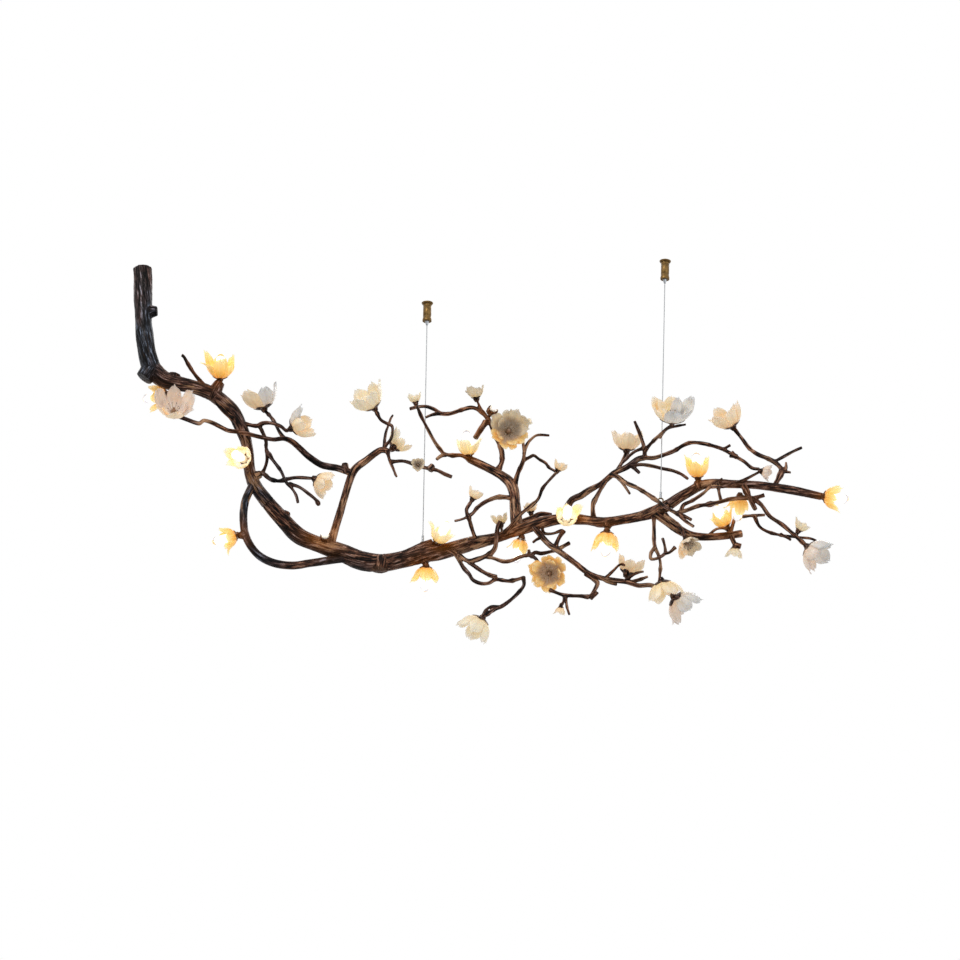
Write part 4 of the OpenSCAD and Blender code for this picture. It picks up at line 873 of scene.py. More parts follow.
# The flared tips of a lit blossom's petals are drawn out, and flat blossoms open wider
LIT_REACH = 1.7
FLAT_OPENING = 70
FLAT_WIDER = 14


def between(shades, share):
    """Colour along a list of colours, for each share from 0 to 1."""
    table = np.array([colour(s) for s in shades])
    places = np.linspace(0, 1, len(shades))
    return np.stack([np.interp(share, places, table[:, k]) for k in range(3)], -1)


def petal(f, r, core_r, opening, turn, width_angle, rng, clay):
    """One petal: two skins that leave its ball near the top and flare, with a wavy rim."""
    rows, columns = PETAL_ROWS, PETAL_COLUMNS
    start = math.asin(core_r / r)
    stop = math.radians(opening + (FLAT_WIDER if f.opening < FLAT_OPENING else 0))
    # v runs from the foot, 0, to the tip, 1, and u from one edge, -1, to the other, 1
    run = np.linspace(0, 1, rows)[:, None]
    v = (1 - (1 - run) ** 1.5) * 0.985
    u = np.linspace(-1, 1, columns)[None, :]
    edge = np.abs(u) * np.ones_like(v)
    half = r * math.sin((start + stop) / 2) * math.sin(math.radians(width_angle / 2))
    width = half * np.maximum(1.37 * np.sqrt(v * (1 - v ** 4)), 0.3 * (1 - v))
    phase, waves = rng.uniform(0, TURN), rng.uniform(2.4, 4.4)
    # The rim's lobes and peak, as an angle on the ball
    lobes = 0.035 * np.cos(u * waves * 2 + phase) - rng.uniform(0.02, 0.1) * u ** 2
    peak = rng.uniform(-0.04, 0.07) * (1 - np.abs(u)) ** 2
    arc = start + (stop - start) * (v + (lobes + peak) * v ** 5)
    # Up to the bend the petal lies on its ball, and past it the tip flares out
    bend = math.radians(rng.uniform(*FLARE))
    on_ball = np.minimum(arc, bend)
    past = np.maximum(arc - bend, 0) * (LIT_REACH if f.lit else 1)
    slope = on_ball - past * rng.uniform(0.1, 0.9)
    middle_slope = (on_ball + slope) / 2
    out = r * (np.sin(on_ball) + past * np.cos(middle_slope))
    high = r * (1 - np.cos(on_ball) + past * np.sin(middle_slope))
    # What lifts the skin off that shape, as a share of the ball's radius
    ruffle = np.sin(u * waves + phase + v * 1.4) * v ** 2.2 * rng.uniform(0.035, 0.075)
    frill = np.sin(v * 11 + phase + u * 2) * edge ** 3 * v * 0.035
    cupped = rng.uniform(-0.12, 0.03) * edge ** 2 * v
    crease = -0.02 * np.exp(-(u / 0.14) ** 2) * (1 - v * 0.4)
    lift = r * (ruffle + frill + cupped + crease)
    round_ball = u * width / np.maximum(out, 0.2 * r) + turn
    thick = PETAL_T * (1 - 0.6 * np.maximum(edge, v) ** 3)
    skins = []
    for depth in (lift, lift - thick):
        wide = out + depth * np.sin(slope)
        skins.append(np.stack([wide * np.cos(round_ball), wide * np.sin(round_ball),
                               BALL_Z + high - depth * np.cos(slope)], -1).reshape(-1, 3))
    share = (v * np.ones_like(u)).ravel()
    _, middle, tip, heart = CLAYS[clay]
    # Painted light and shade: the colour is lighter where the ruffle lifts the skin out, darker
    # where it dips and along the middle crease.
    groove = 0.1 * np.exp(-(u / 0.2) ** 2 * np.ones_like(v)).ravel()
    fold_light_and_shade = 1 + 0.9 * (ruffle + cupped * 0.5).ravel() - groove
    back = between(CLAYS[clay][:3], share) * fold_light_and_shade[:, None]
    face = between((CLAYS[f.clay][3], heart, middle, tip), share) * fold_light_and_shade[:, None]
    both = np.concatenate([back, face])
    thin = 0.96 - 0.5 * np.clip((np.maximum(edge, v) - 0.72) / 0.28, 0, 1).ravel() ** 1.4
    leaf = np.stack([(u * width).ravel(), share * r * (stop - start),
                     np.full(rows * columns, turn * 9)], -1)
    return (np.concatenate(skins), closed_faces(rows, columns)), {
        "tint": with_alpha(both * rng.uniform(0.95, 1.05)),
        "shine": with_alpha(both * (LIT_GLOW if f.lit else DIM_GLOW)),
        "body": np.tile(thin, 2), "leaf": np.tile(leaf, (2, 1))}


def closed_faces(rows, columns):
    """Faces of two skins of rows by columns points, and of the rim that joins them."""
    n = rows * columns
    outer = grid(rows, columns, False)
    inner = [[k + n for k in face[::-1]] for face in outer]
    border = ([(0, c) for c in range(columns)] + [(k, columns - 1) for k in range(1, rows)]
              + [(rows - 1, c) for c in range(columns - 2, -1, -1)]
              + [(k, 0) for k in range(rows - 2, 0, -1)])
    loop = [i * columns + j for i, j in border]
    return outer + inner + [[b, a, a + n, b + n] for a, b in zip(loop, loop[1:] + loop[:1])]


def with_alpha(shades):
    return np.column_stack([np.clip(shades, 0, 1), np.ones(len(shades))])


def centre_r(r):
    return r * 0.09 + 0.8


def clay_at(f, turn):
    """The clay of the petal at this turn: the second one on the side that it colours."""
    if f.side is None:
        return f.clay
    way = f.matrix @ [math.cos(turn), math.sin(turn), 0]
    across, up = way @ off_board(1, 0, 0), way @ off_board(0, 1, 0)
    off = abs((math.degrees(math.atan2(up, across)) - f.side + 180) % 360 - 180)
    return f.second if off < 80 else f.clay


def make_petals():
    """Two layers of three petals in each blossom, and a small ring inside the unlit ones."""
    for group, (node, members) in enumerate(GROUPS.items()):
        mould = Mould()
        for number, f in enumerate(members):
            rng = np.random.default_rng(100 * group + number + 7)
            core = SOCKET_R if f.lit else centre_r(f.r)
            inner_r = f.r - PETAL_T - LAYER_GAP
            for r, opening, first in ((f.r, f.opening, 0), (inner_r, f.opening * 0.94, TURN / 6)):
                for k in range(3):
                    turn = first + k * TURN / 3 + rng.uniform(-0.07, 0.07)
                    opened, wide = opening + rng.uniform(-6, 4), PETAL_WIDTH + rng.uniform(-8, 4)
                    shape, values = petal(f, r, core + CORE_GAP, opened, turn, wide, rng,
                                          clay_at(f, turn))
                    mould.add(f.put(shape), **values)
            for k in range(0 if f.lit or f.r <= BUD_R else INNER_COUNT):
                turn = k * TURN / INNER_COUNT + 0.3
                shape, values = petal(f, f.r * INNER_SHARE, core + 1.2, rng.uniform(84, 112),
                                      turn, INNER_WIDTH, rng, clay_at(f, turn))
                mould.add(f.put(shape), **values)
        mould.cast(f"{node}_porcelain", "bough", [PETALS], "porcelain", node)


def ball(centre, radii, rows=6, columns=8):
    """Closed egg round a centre; the poles are tiny rings."""
    polar = np.linspace(0.12, math.pi - 0.12, rows)
    ring = [[radii[0] * math.sin(a), -radii[1] * math.cos(a)] for a in polar]
    turn = np.arange(columns) * TURN / columns
    points = np.array([[x * math.cos(t), x * math.sin(t), z] for x, z in ring for t in turn])
    ends = [list(range(columns))[::-1], list(range((rows - 1) * columns, rows * columns))]
    return points + centre, grid(rows, columns, True) + ends


CENTRE_CLAYS = {"pistil": "#a98c78", "thread": "#cdbd9f", "head": "#5d4c40"}


def make_centres():
    """Pistil and stamens in each blossom that has no bulb."""
    mould = Mould()

    def add(f, shape, part):
        mould.add(f.put(shape), tint=(*colour(CENTRE_CLAYS[part]), 1))

    for number, f in enumerate(b for b in blooms if not b.lit):
        rng = np.random.default_rng(900 + number)
        c, tall = centre_r(f.r), f.r * 0.3
        body = [[max(c * (1 - 0.35 * (z / tall) ** 2) * (1.1 if k % 2 else 0.9), 0.3), BALL_Z + z]
                for k, z in enumerate(np.linspace(0, tall + c, 9))]
        outline = [[AXIS_R, BALL_Z]] + body + [[AXIS_R, body[-1][1]]]
        bumps = lambda turn, row: 1 + 0.13 * np.sin(turn * 6 + row * math.pi)
        add(f, lathe(outline, 24, bumps), "pistil")
        stamens, thin, head = (9, 1, (0.95, 1.5)) if f.r > BUD_R else (6, 0.7, (0.6, 0.9))
        for k in range(stamens):
            turn = k * TURN / stamens + rng.uniform(-0.15, 0.15)
            length = f.r * rng.uniform(0.34, 0.46)
            lean = rng.uniform(0.35, 0.6)
            t = np.linspace(0, 1, 5)
            out = c * 0.9 + lean * length * t ** 1.3
            path = np.stack([out * math.cos(turn), out * math.sin(turn),
                             BALL_Z + 0.5 + length * t], -1)
            add(f, sweep(path, np.linspace(0.55, 0.4, 5) * thin, 6), "thread")
            add(f, ball(path[-1], head), "head")
    mould.cast("blossom_centres", "bough", [PISTILS], "pistil_porcelain", "flower_centres")


CUP_GRAIN = 1.2
CALYX_REACH = math.radians(34)
# The ring of bark round a bulb that has no petals
BARK_RING_R, BARK_RING_TOP = 11, 9
STALK_STEPS, STALK_SIDES = 8, 12
# How far apart two cups' patches of bark pattern lie
PATTERN_STEP = 31


def make_cups():
    """Bronze cups: a grooved neck, and a calyx with five lobes under the petals."""
    mould = Mould()
    for number, f in enumerate(blooms):
        neck = CUP_NECK_R if f.lit else min(CUP_NECK_R, f.r * 0.3 + 1)
        foot = [[AXIS_R, CUP_FOOT], [neck * 0.6, CUP_FOOT], [neck * 0.72, CUP_FOOT + 2],
                [neck * 0.92, CUP_FOOT + 4.6], [neck, BALL_Z - 2], [neck * 0.97, BALL_Z],
                [AXIS_R, BALL_Z]]
        grooves = lambda turn, row: 1 + 0.05 * np.sin(turn * 9 + row * 0.4) * (row > 0)
        if np.linalg.norm(f.place - f.root) > 3:
            path = np.linspace(f.root, f.place, STALK_STEPS)
            swell = neck / 2 * (1 + 0.06 * np.sin(np.arange(STALK_STEPS) * 2.1))
            mould.add(sweep(path, swell, STALK_SIDES), **stalk_bark(number))
        for points, faces in (lathe(resampled(foot, CUP_GRAIN), 36, grooves),
                              calyx(f.r) if f.r > 0 else bark_ring()):
            angle = np.arctan2(points[:, 1], points[:, 0])
            grain = points[:, [2, 0, 1]] + number * PATTERN_STEP
            # A lit blossom's cup gets a warmer tone and painted bulb light.
            mould.add(f.put((points, faces)), grain=grain, warmth=0.9 if f.lit else 0.6,
                      ridge=0.6 + 0.15 * np.sin(angle * 9), glow=0.3 if f.lit else 0.0,
                      worn=0.25, cut=0.0)
    mould.cast("blossom_cups", "bough", [BARK], "cup_bronze", "flower_cups")


def bark_ring():
    """Rough ring round the socket of a bulb in bark alone."""
    inner, r, top = SOCKET_R + 0.2, BARK_RING_R, BALL_Z + BARK_RING_TOP
    ring = [[inner, BALL_Z], [inner, top], [r - 0.6, top], [r, top - 4], [r, BALL_Z - 2],
            [CUP_NECK_R, BALL_Z - 2], [CUP_NECK_R, BALL_Z - 0.5]]
    rough = lambda turn, row: 1 + 0.025 * np.sin(turn * 7 + row) + 0.015 * np.sin(turn * 17)
    return lathe(resampled(ring, CUP_GRAIN), 48, rough)


def calyx(r):
    """Thin bowl outside the petals, cut into five lobes."""
    rows, columns = 9, 40
    turn = np.arange(columns) * TURN / columns
    edge = CALYX_REACH * (0.72 + 0.28 * np.abs(np.cos(turn * 2.5)))
    run = np.linspace(0.12, 1, rows)[:, None]
    phi = run * edge[None, :]
    skins = []
    for depth in (r + 2.0 - 1.2 * run ** 2, np.full((rows, 1), r + 0.3)):
        out = depth * np.sin(phi)
        skins.append(np.stack([out * np.cos(turn), out * np.sin(turn),
                               BALL_Z + r - depth * np.cos(phi)], -1).reshape(-1, 3))
    n = rows * columns
    outer = grid(rows, columns, True)
    inner = [[k + n for k in face[::-1]] for face in outer]
    first = [(k, (k + 1) % columns) for k in range(columns)]
    lip = [(a + n - columns, b + n - columns) for a, b in first]
    rim = [[b, a, a + n, b + n] for a, b in lip]
    root = [[a, b, b + n, a + n] for a, b in first]
    return np.concatenate(skins), outer + inner + rim + root


def stalk_bark(number):
    """Stored values of the bark on a cup's stalk."""
    run = np.repeat(np.linspace(0, 10, STALK_STEPS), STALK_SIDES)
    turn = np.tile(np.arange(STALK_SIDES) * TURN / STALK_SIDES, STALK_STEPS)
    grain = np.stack([run + number * PATTERN_STEP, 4 * np.cos(turn), 4 * np.sin(turn)], -1)
    # The stalks carry a little painted bulb light all over.
    return {"grain": grain, "warmth": 0.7, "ridge": 0.55 + 0.1 * np.sin(turn * 4), "glow": 0.1,
            "worn": 0.2, "cut": 0.0}


make_petals()
make_centres()
make_cups()


# ---- Bark ----
# How warm each piece is, from 0, blue-black, to 1, red-brown, and the routes of its tubes
WOOD = {
    "trunk": (0.1, [trunk_route, stub(trunk_route, [315, 622], -4, 34, 18),
        stub(trunk_route, [288, 757], 0, 40, 34)]),
    "main_limb_left": (0.24, [left_route, stub(left_route, [440, 765], 0, 30, 21),
        stub(left_route, [350, 747], -3, 29, 21), stub(left_route, [522, 948], -4, 20, 15),
        stub(left_route, [493, 942], -6, 21, 15)]),
    "main_limb_middle": (0.5, [middle_route, stub(middle_route, [758, 1140], 0, 40, 34),
        stub(middle_route, [574, 1024], 0, 26, 16), stub(middle_route, [852, 1126], 0, 26, 16),
        left_strand]),
    "main_limb_right": (0.9, [right_route, back_strand, stub(right_route, [1214, 1056], 0, 20, 15),
        stub(right_route, [1324, 1026], 0, 24, 20)]),
    "upper_fork": (0.55, [upper_fork_route, stub(upper_fork_route, [1396, 962], 0, 22, 16)]),
    "lower_fork": (0.95, [lower_fork_route]),
    "loop_limb": (0.3, [loop_route, stub(loop_route, [478, 1070], 0, 16, 14)]),
    "bridge_limb": (0.85, [bridge_route]),
    "left_limb": (0.5, [left_limb_route, stub(left_limb_route, [690, 927], 0, 16, 13)]),
    "crown_limb": (0.9, [crown_route]),
    "upper_right_limb": (0.55, [upper_right_route]),
    "lower_long_limb": (0.5, [lower_long_route]),
    "left_twigs": (0.5, [elbow_twig, perch_twig, shelf_twig, drop_twig, drop_side_twig, tie_twig,
        berry_twig]),
    "bridge_twigs": (0.5, [fork_up_twig, fork_back_twig, arm_drop_twig, arm_long_twig,
        arm_knot_twig]),
    "crown_twigs": (0.85, [crown_left_twig, crown_left_stub, crown_rise_twig, crown_reach_twig,
        crown_reach_side, bud_twig, cut_twig, crown_right_twig, crown_right_side, crown_far_twig,
        crown_low_twig, crown_low_side, crown_prop_twig]),
    "middle_twigs": (0.65, [cross_twig, near_flower_twig, knee_twig, blunt_twig, nail_twig]),
    "hanging_twigs": (0.6, [under_twig, under_long_twig, under_short_twig, under_right_twig,
        under_right_stub, copper_twig, hang_twig, hang_side, return_twig, return_spur,
        bud_drop_twig, bare_drop_twig]),
    "upper_right_twigs": (0.6, [prop_twig, arch_twig, arch_spur, arch_knot, horn_twig,
        blossom_twig, blossom_side, sling_twig, peach_twig, amber_twig, amber_spur]),
    "fork_twigs": (0.7, [dive_twig, dive_side, dive_split, shelf_right_twig, far_twig, ribbon_twig,
        ribbon_end, ribbon_tie, down_spur, claw_twig, claw_side, claw_spur, claw_tip]),
    "lower_right_twigs": (0.7, [plumb_twig, plumb_loop, plumb_side, grey_twig, hook_twig,
        trail_twig, trail_split, trail_bud, foot_twig, foot_knob, thread_twig, step_twig,
        comb_twig, comb_low_twig, nip_twig])}
# Where the patina is rubbed to copper: across and down the board, and how far it reaches
WORN = [
    (382, 790, 26), (418, 812, 24), (456, 800, 16), (402, 845, 24), (494, 905, 40), (512, 960, 26),
    (650, 1080, 34), (665, 1062, 40), (700, 945, 34), (720, 930, 24), (700, 1000, 50),
    (505, 1010, 30), (860, 905, 50), (980, 880, 50), (1010, 990, 60), (1080, 900, 60),
    (1040, 1010, 60), (940, 1090, 50), (1010, 1120, 50), (1110, 1104, 40), (1180, 1000, 50),
    (1240, 930, 36), (1310, 940, 60), (1240, 965, 30), (1320, 880, 30), (1290, 1000, 60),
    (1330, 1050, 50), (1400, 1030, 60), (1430, 985, 60), (1480, 1050, 60), (1330, 1110, 60),
    (1300, 1150, 40), (1200, 1160, 30), (1560, 905, 40)]
TWIG_MIN_D = 4
# Spacing of the skin's points on limbs and on twigs
LIMB_GRAIN, TWIG_GRAIN = 1.5, 1.15
# Turn of the bark for each millimetre along it, and how far apart two tubes' patterns lie
BARK_TWIST = 0.006
TUBE_STEP = 137
# How far from its end a tube still counts as sawn
END_DEPTH = 2.5
# Where along a bulb the painted light on the bark comes from, and how far that painted light reaches
BULB_GLOW_Z = 14
GLOW_REACH = 34
BATCH = 4000
BUSH_D = 20
BUSH_LEN = 32


class Vein:
    """Centre line of one tube: where it runs, its own directions and its thickness."""

    def __init__(self, route, number):
        route = np.asarray(route, float)
        if len(route) == 2:
            route = route[0] + (route[1] - route[0]) * np.linspace(0, 1, 8)[:, None]
        fine = smooth(route, 4)
        self.points = np.array([seat(q) for q in fine])
        self.radius = np.maximum(fine[:, 3], TWIG_MIN_D) / 2
        self.ahead, self.across, self.over = frames(self.points)
        step = np.linalg.norm(np.diff(self.points, axis=0), axis=1)
        self.run = np.concatenate([[0], np.cumsum(step)])
        self.number = np.full(len(fine), number)
        self.left = self.run[-1] - self.run


# One knot for each such length of a twig, and how far the collar at its root reaches
KNOT_EVERY = 26
COLLAR_REACH = 5


def twig_swell(vein, rng):
    """A twig's own thickness: knots where buds were, and an uneven skin."""
    length = vein.run[-1]
    swell = 1 + 0.07 * np.sin(vein.run / 6.1 + rng.uniform(0, TURN))
    for _ in range(int(length / KNOT_EVERY)):
        at, size = rng.uniform(0, length), rng.uniform(0.1, 0.32)
        swell += size * np.exp(-((vein.run - at) / rng.uniform(2, 4.5)) ** 2)
    return swell + 0.35 * np.exp(-(vein.run / COLLAR_REACH) ** 2)


def skin_over(name, veins, grain):
    """One skin over all tubes of a piece, in even quads."""
    mould = Mould()
    for k, vein in enumerate(veins):
        rng = np.random.default_rng(len(name) * 50 + k)
        radius = vein.radius * (twig_swell(vein, rng) if name.endswith("twigs") else 1)
        mould.add(sweep(vein.points, radius, 20 if grain == LIMB_GRAIN else 12))
    draft = stand("draft", mould.mesh("draft"))
    remesh = draft.modifiers.new("skin", "REMESH")
    remesh.mode, remesh.voxel_size = "VOXEL", grain * MM
    relax = draft.modifiers.new("relax", "SMOOTH")
    relax.factor, relax.iterations = 0.5, 3
    scratch = [draft] + ([add_bush_bore(draft)] if name == "trunk" else [])
    seen = draft.evaluated_get(bpy.context.evaluated_depsgraph_get())
    mesh = bpy.data.meshes.new_from_object(seen)
    for used in scratch:
        bpy.data.objects.remove(used)
    return mesh


def add_bush_bore(draft):
    """Cuts the bore that the threaded bush sits in."""
    r, above = BUSH_D / 2 - 0.1, 20
    mould = Mould()
    mould.add(lathe([[AXIS_R, -BUSH_LEN], [r, -BUSH_LEN], [r, above], [AXIS_R, above]], 48))
    cutter = stand("cutter", mould.mesh("cutter"))
    cut = draft.modifiers.new("bore", "BOOLEAN")
    cut.object, cut.operation, cut.solver = cutter, "DIFFERENCE", "EXACT"
    return cutter


# Length along the grain, and width round the tube, of what the bark is made up of
RIDGE, SMALL_RIDGE, LUMP, PIT = (22, 3.1), (9, 1.7), (24, 11), (7, 5)
# How deep the ridges are: a share of the tube's radius, and the least and most in millimetres
RIDGE_SHARE, RIDGE_LEAST, RIDGE_MOST = 0.055, 0.16, 0.95


def bark_relief(place, radius, seed):
    """Height of the bark over a point given as its run along the grain and round it."""
    def patches(size, number):
        return lattice(place * (1 / size[0], 1 / size[1], 1 / size[1]), seed + number)

    ridge = 1 - np.abs(2 * patches(RIDGE, 0) - 1)
    small = 1 - np.abs(2 * patches(SMALL_RIDGE, 1) - 1)
    lump, pit = patches(LUMP, 2), np.clip(patches(PIT, 3) - 0.72, 0, 1)
    deep = np.clip(radius * RIDGE_SHARE, RIDGE_LEAST, RIDGE_MOST)
    height = deep * (ridge * 1.1 + small * 0.45 - 0.9) + radius * 0.12 * (lump - 0.5)
    return height - pit * deep * 2.4, ridge * 0.7 + small * 0.3


def worn_at(points):
    """How far the patina is rubbed through at each point, from 0 to 1."""
    across = points @ off_board(1, 0, 0) + BOARD_ZERO[0]
    down = BOARD_ZERO[1] - points @ off_board(0, 1, 0)
    gaps = [np.hypot(across - x, down - y) / reach for x, y, reach in WORN]
    return np.exp(-np.min(gaps, axis=0) ** 2)


def nearest_vein(points, veins):
    """What the nearest centre line holds, for each of the points."""
    joined = {key: np.concatenate([getattr(v, key) for v in veins])
              for key in ("points", "radius", "ahead", "across", "over", "run", "number", "left")}
    owner = np.empty(len(points), int)
    # In batches, so that the table of gaps stays small
    for k in range(0, len(points), BATCH):
        gap = np.linalg.norm(points[k:k + BATCH, None] - joined["points"][None], axis=2)
        owner[k:k + BATCH] = np.argmin(gap - joined["radius"], axis=1)
    return {key: value[owner] for key, value in joined.items()}


def make_bark(node, warmth, routes):
    """Skin over a piece's tubes, raised into bark, with what its material needs at each point."""
    grain = TWIG_GRAIN if node.endswith("twigs") else LIMB_GRAIN
    veins = [Vein(route, k) for k, route in enumerate(routes)]
    mesh = skin_over(node, veins, grain)
    flat = np.empty(len(mesh.vertices) * 3)
    mesh.vertices.foreach_get("co", flat)
    points = flat.reshape(-1, 3) / MM
    mesh.vertex_normals.foreach_get("vector", flat)
    normals = flat.reshape(-1, 3)
    at = nearest_vein(points, veins)
    off = points - at["points"]
    run = at["run"] + np.sum(off * at["ahead"], 1)
    turn = np.arctan2(np.sum(off * at["over"], 1), np.sum(off * at["across"], 1))
    turn += run * BARK_TWIST
    radius = at["radius"]
    along = run + at["number"] * TUBE_STEP
    place = np.stack([along, radius * np.cos(turn), radius * np.sin(turn)], -1)
    height, ridge = bark_relief(place, radius, sum(map(ord, node)))
    # A sawn end is nearly flat
    facing = np.abs(np.sum(normals * at["ahead"], 1))
    to_end = np.minimum(run, at["left"] - (run - at["run"]))
    cut = np.clip((facing - 0.75) / 0.2, 0, 1) * (to_end < END_DEPTH)
    step = normals * (height * (1 - 0.8 * cut))[:, None]
    points = points + step
    if node == "trunk":
        mouth = np.hypot(points[:, 0], points[:, 1]) < BUSH_D / 2 + 1.5
        inside = mouth & (points[:, 2] > -BUSH_LEN - 2)
        points[inside] -= step[inside]
        points[:, 2] = np.minimum(points[:, 2], 0)
    mesh.vertices.foreach_set("co", (points * MM).ravel())
    # Painted bulb light: bark near a bulb gets painted orange light, and its warmth is raised by it.
    bulbs = np.array([f.place + f.axis * (GLASS_Z + BULB_GLOW_Z) for f in lamps])
    near = np.min(np.linalg.norm(points[:, None] - bulbs[None], axis=2), axis=1)
    glow = np.exp(-(near / GLOW_REACH) ** 2)
    drift = lattice(points / 55, 5)
    for key, value in (
            ("grain", place), ("ridge", ridge), ("glow", glow), ("cut", cut),
            ("warmth", np.clip(warmth + (drift - 0.5) * 0.7 + glow * 0.4, 0, 1)),
            ("worn", worn_at(points) * (0.4 + 0.6 * lattice(points / 17, 6)))):
        store(mesh, key, value)
    piece(mesh, f"{node}_bark", "bough", [BARK], "bark_bronze", node)


for wood_node, (wood_warmth, wood_routes) in WOOD.items():
    make_bark(wood_node, wood_warmth, wood_routes)


# ---- Bulbs ----
# Share of the glass's radius that the core and the pressed neck have
CORE_SHARE, NECK_SHARE = 0.66, 0.8
PIN_SPACING = 9
PIN_R, PIN_TIP_R = 0.8, 0.45


def dome(r, top, first, steps):
    """Outline points of the round end of a tube, from its side to its tip."""
    return [[r * math.cos(a), top - r + r * math.sin(a)]
            for a in np.linspace(first, math.pi / 2 - 0.01, steps)]


def make_bulb(number, f):
    """Capsule bulb: clear glass with a pressed neck round a frosted core, and two pins."""
    mould = Mould()

    def add(shape, skin, leaf=(0, 0, 0)):
        mould.add(f.put(moved(shape, [0, 0, GLASS_Z])), skin, leaf=leaf)

    neck, r = SOCKET_R * NECK_SHARE, BULB_R
    glass = [[AXIS_R, 0], [neck, 0], [neck, 5], [r * 0.93, 7.6], [r, 10], [r, BULB_LEN - r]]
    pressed = lambda turn, row: 1 - 0.16 * np.clip(1 - row / 6, 0, 1) * np.sin(turn) ** 2
    add(lathe(resampled(glass + dome(r, BULB_LEN, 0.12, 12), 2.0), 40, pressed), 0)
    core_r, top = r * CORE_SHARE, BULB_LEN - r * 0.7
    core = [[AXIS_R, 6], [core_r * 0.9, 6], [core_r, 8], [core_r, top - core_r]]
    fluted = lambda turn, row: 1 + 0.04 * np.cos(turn * 8)
    points, faces = lathe(resampled(core + dome(core_r, top, 0.2, 7), 1.5), 28, fluted)
    turn = np.arctan2(points[:, 1], points[:, 0])
    leaf = np.stack([turn, (points[:, 2] + GLASS_Z) / 10, np.zeros(len(points))], -1)
    add((points, faces), 1, leaf)
    for side in (-1, 1):
        path = np.array([[side * PIN_SPACING / 2, 0, z] for z in (1.0, -1.5, -5, -8.6, -9.5)])
        add(sweep(path, [PIN_R, PIN_R, PIN_R, PIN_R, PIN_TIP_R], 12), 2)
    name = f"bulb_{number:02d}"
    mould.cast(f"{name}_glass", name, [GLASS, GLOW, STEEL], "bulb_glass", name)


for lamp_number, lamp in enumerate(lamps, 1):
    make_bulb(lamp_number, lamp)


# ---- Grippers and wires ----
LEFT_GRIPPER_X, RIGHT_GRIPPER_X = 571, 1045
CAP_D, CAP_T = 23, 3.5
BARREL_D, LIP_D, BARREL_LEN = 16.5, 18.5, 38
BARREL_BORE_R = (12 + 0.15) / 2
BARREL_FLOOR = 4
BARREL_END = -CAP_T - BARREL_LEN
NIPPLE_D, NIPPLE_OUT = 7, 8
BOSS_D, BOSS_LEN = 12, 7
SCREW_R = 2.1
WIRE_D = 2
# Length of one turn of a strand, and the strands' radii
LAY = 15
STRAND_R, CORE_STRAND_R = 0.35, 0.45
EYE_D, EYE_ROD = 7, 3
FERRULE_D, FERRULE_LEN = 5, 14
CRIMPS = (0.22, 0.5, 0.78)


def under(route, x):
    """Point of a limb below a gripper: its place and its thickness."""
    places = np.array([seat(q) for q in route])
    columns = (places[:, 0], places[:, 1], places[:, 2], route[:, 3])
    return np.array([np.interp(x, places[:, 0], column) for column in columns])


anchors = {"left": under(middle_route, LEFT_GRIPPER_X), "right": under(right_route, RIGHT_GRIPPER_X)}


def hung(shape, anchor):
    """Moves a shape to the plumb line over its anchor."""
    return moved(shape, [anchor[0], anchor[1], 0])


def turn_part(name, body, outline, sides, anchor, metals, slot, node):
    """Casts one turned part of a gripper."""
    mould = Mould()
    mould.add(hung(lathe(outline, sides), anchor))
    mould.cast(name, body, metals, slot, node)


def rounded(r0, z0, r1, z1, steps=5):
    """Quarter round from one outline point to another, bulging outwards."""
    return [[r0 + (r1 - r0) * math.sin(a), z0 + (z1 - z0) * (1 - math.cos(a))]
            for a in np.linspace(0, math.pi / 2, steps)]


def make_gripper(side, anchor):
    """Ceiling disc with its boss, grooved barrel and release nipple."""
    low, r, lip, disc, boss = BARREL_END, BARREL_D / 2, LIP_D / 2, CAP_D / 2, -CAP_T - BOSS_LEN
    cap = [[SCREW_R, 0], [disc - 0.4, 0], [disc, -0.4], [disc, -1.2], [disc - 0.6, -1.5],
           [disc - 0.9, -2.6], [disc - 1.3, -3.2], [disc - 2, -CAP_T], [BOSS_D / 2, -CAP_T],
           [BOSS_D / 2, boss], [4.2, boss], [SCREW_R, boss + 2]]
    turn_part(f"ceiling_disc_{side}", "bough", cap, 72, anchor, [OLD_BRONZE], "gripper_bronze",
              f"ceiling_cap_{side}")
    groove = lambda z: [[r, z + 0.5], [r - 0.35, z + 0.2], [r - 0.35, z - 0.2], [r, z - 0.5]]
    barrel = [[BARREL_BORE_R, -CAP_T], [r - 0.5, -CAP_T], [r, -CAP_T - 0.5]]
    for z in (-CAP_T - 3, -CAP_T - 4.8, low + 12):
        barrel += groove(z)
    barrel += [[r, low + 7.6], [r + 0.25, low + 7], [lip - 0.2, low + 5.4], [lip, low + 4.6]]
    barrel += [[lip, low + 1.8]] + rounded(lip - 1.6, low, lip, low + 1.6)[::-1]
    stem, inside, tip = NIPPLE_D / 2, low + BARREL_FLOOR, low - NIPPLE_OUT
    barrel += [[stem + 0.5, low], [stem + 0.08, low + 0.5], [stem + 0.08, inside],
               [BARREL_BORE_R, inside]]
    turn_part(f"gripper_sleeve_{side}", "bough", barrel, 72, anchor, [OLD_BRONZE],
              "gripper_bronze", f"gripper_barrel_{side}")
    hole, flange = WIRE_D / 2 + 0.2, stem + 1.75
    nipple = [[hole, inside + 2], [stem + 1.5, inside + 2], [flange, inside + 1.6],
              [flange, inside + 0.3], [stem, inside + 0.2], [stem, low - 2.6],
              [stem - 0.15, low - 2.9], [stem * 0.82, low - 5], [stem * 0.56, tip + 0.4],
              [stem * 0.5, tip], [hole + 0.1, tip]]
    turn_part(f"nipple_{side}", f"release_{side}", nipple, 48, anchor, [STEEL], "steel",
              f"release_nipple_{side}")


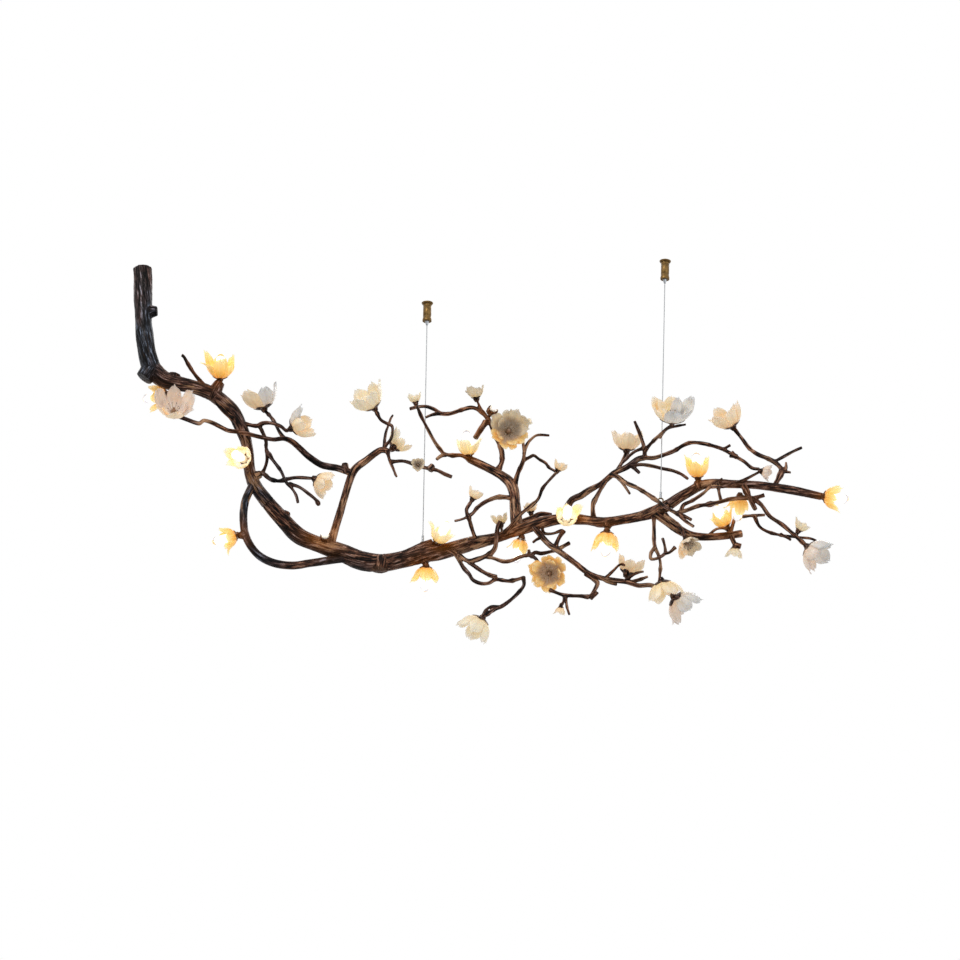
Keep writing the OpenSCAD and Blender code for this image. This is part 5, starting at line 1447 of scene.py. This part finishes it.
def make_wire(side, anchor):
    """Steel rope of six strands round a core."""
    low, top = anchor[2] + anchor[3] / 2 + EYE_D + EYE_ROD, -CAP_T - BOSS_LEN - 3
    z = np.linspace(low, top, int((top - low) / LAY * 9))
    mould = Mould()
    for k in range(6):
        turn = TURN * (z - low) / LAY + k * TURN / 6
        wound = (WIRE_D / 2 - STRAND_R) * np.stack([np.cos(turn), np.sin(turn)], -1)
        mould.add(hung(sweep(np.column_stack([wound, z]), STRAND_R, 6), anchor))
    straight = [[0, 0, low], [0, 0, (low + top) / 2], [0, 0, top]]
    mould.add(hung(sweep(straight, CORE_STRAND_R, 8), anchor))
    mould.cast(f"wire_rope_{side}", "bough", [WIRE], "steel", f"suspension_wire_{side}")


def crimped_sleeve(anchor):
    """Sleeve pressed on to the wire in three places, above its eye."""
    foot = anchor[2] + anchor[3] / 2 + EYE_D + EYE_ROD * 1.5
    r = FERRULE_D / 2
    sleeve = [[WIRE_D / 2, foot], [r - 0.3, foot], [r, foot + 0.3], [r, foot + FERRULE_LEN - 0.3],
              [r - 0.3, foot + FERRULE_LEN], [WIRE_D / 2, foot + FERRULE_LEN]]
    points, faces = lathe(resampled(sleeve, 0.5), 32)
    crimp = np.zeros(len(points))
    for share in CRIMPS:
        crimp += np.exp(-((points[:, 2] - foot - FERRULE_LEN * share) / 1.1) ** 2)
    outer = np.hypot(points[:, 0], points[:, 1]) > r - 0.5
    points[:, 1] *= 1 - 0.2 * crimp * outer
    return hung((points, faces), anchor)


sleeves = Mould()
for gripper_side, gripper_anchor in anchors.items():
    make_gripper(gripper_side, gripper_anchor)
    make_wire(gripper_side, gripper_anchor)
    sleeves.add(crimped_sleeve(gripper_anchor))
sleeves.cast("crimp_sleeves", "bough", [STEEL], "steel", "wire_ferrules")

# ---- CAD pieces that stay, with their finishes ----
for kept_node, finish in (("trunk_bush", STEEL), ("grip_collet_left", STEEL),
                          ("grip_collet_right", STEEL), ("collet_springs", STEEL),
                          ("limb_eyes", OLD_BRONZE), ("lamp_sockets", CERAMIC)):
    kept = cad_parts[kept_node]
    kept.data.materials.clear()
    kept.data.materials.append(finish)
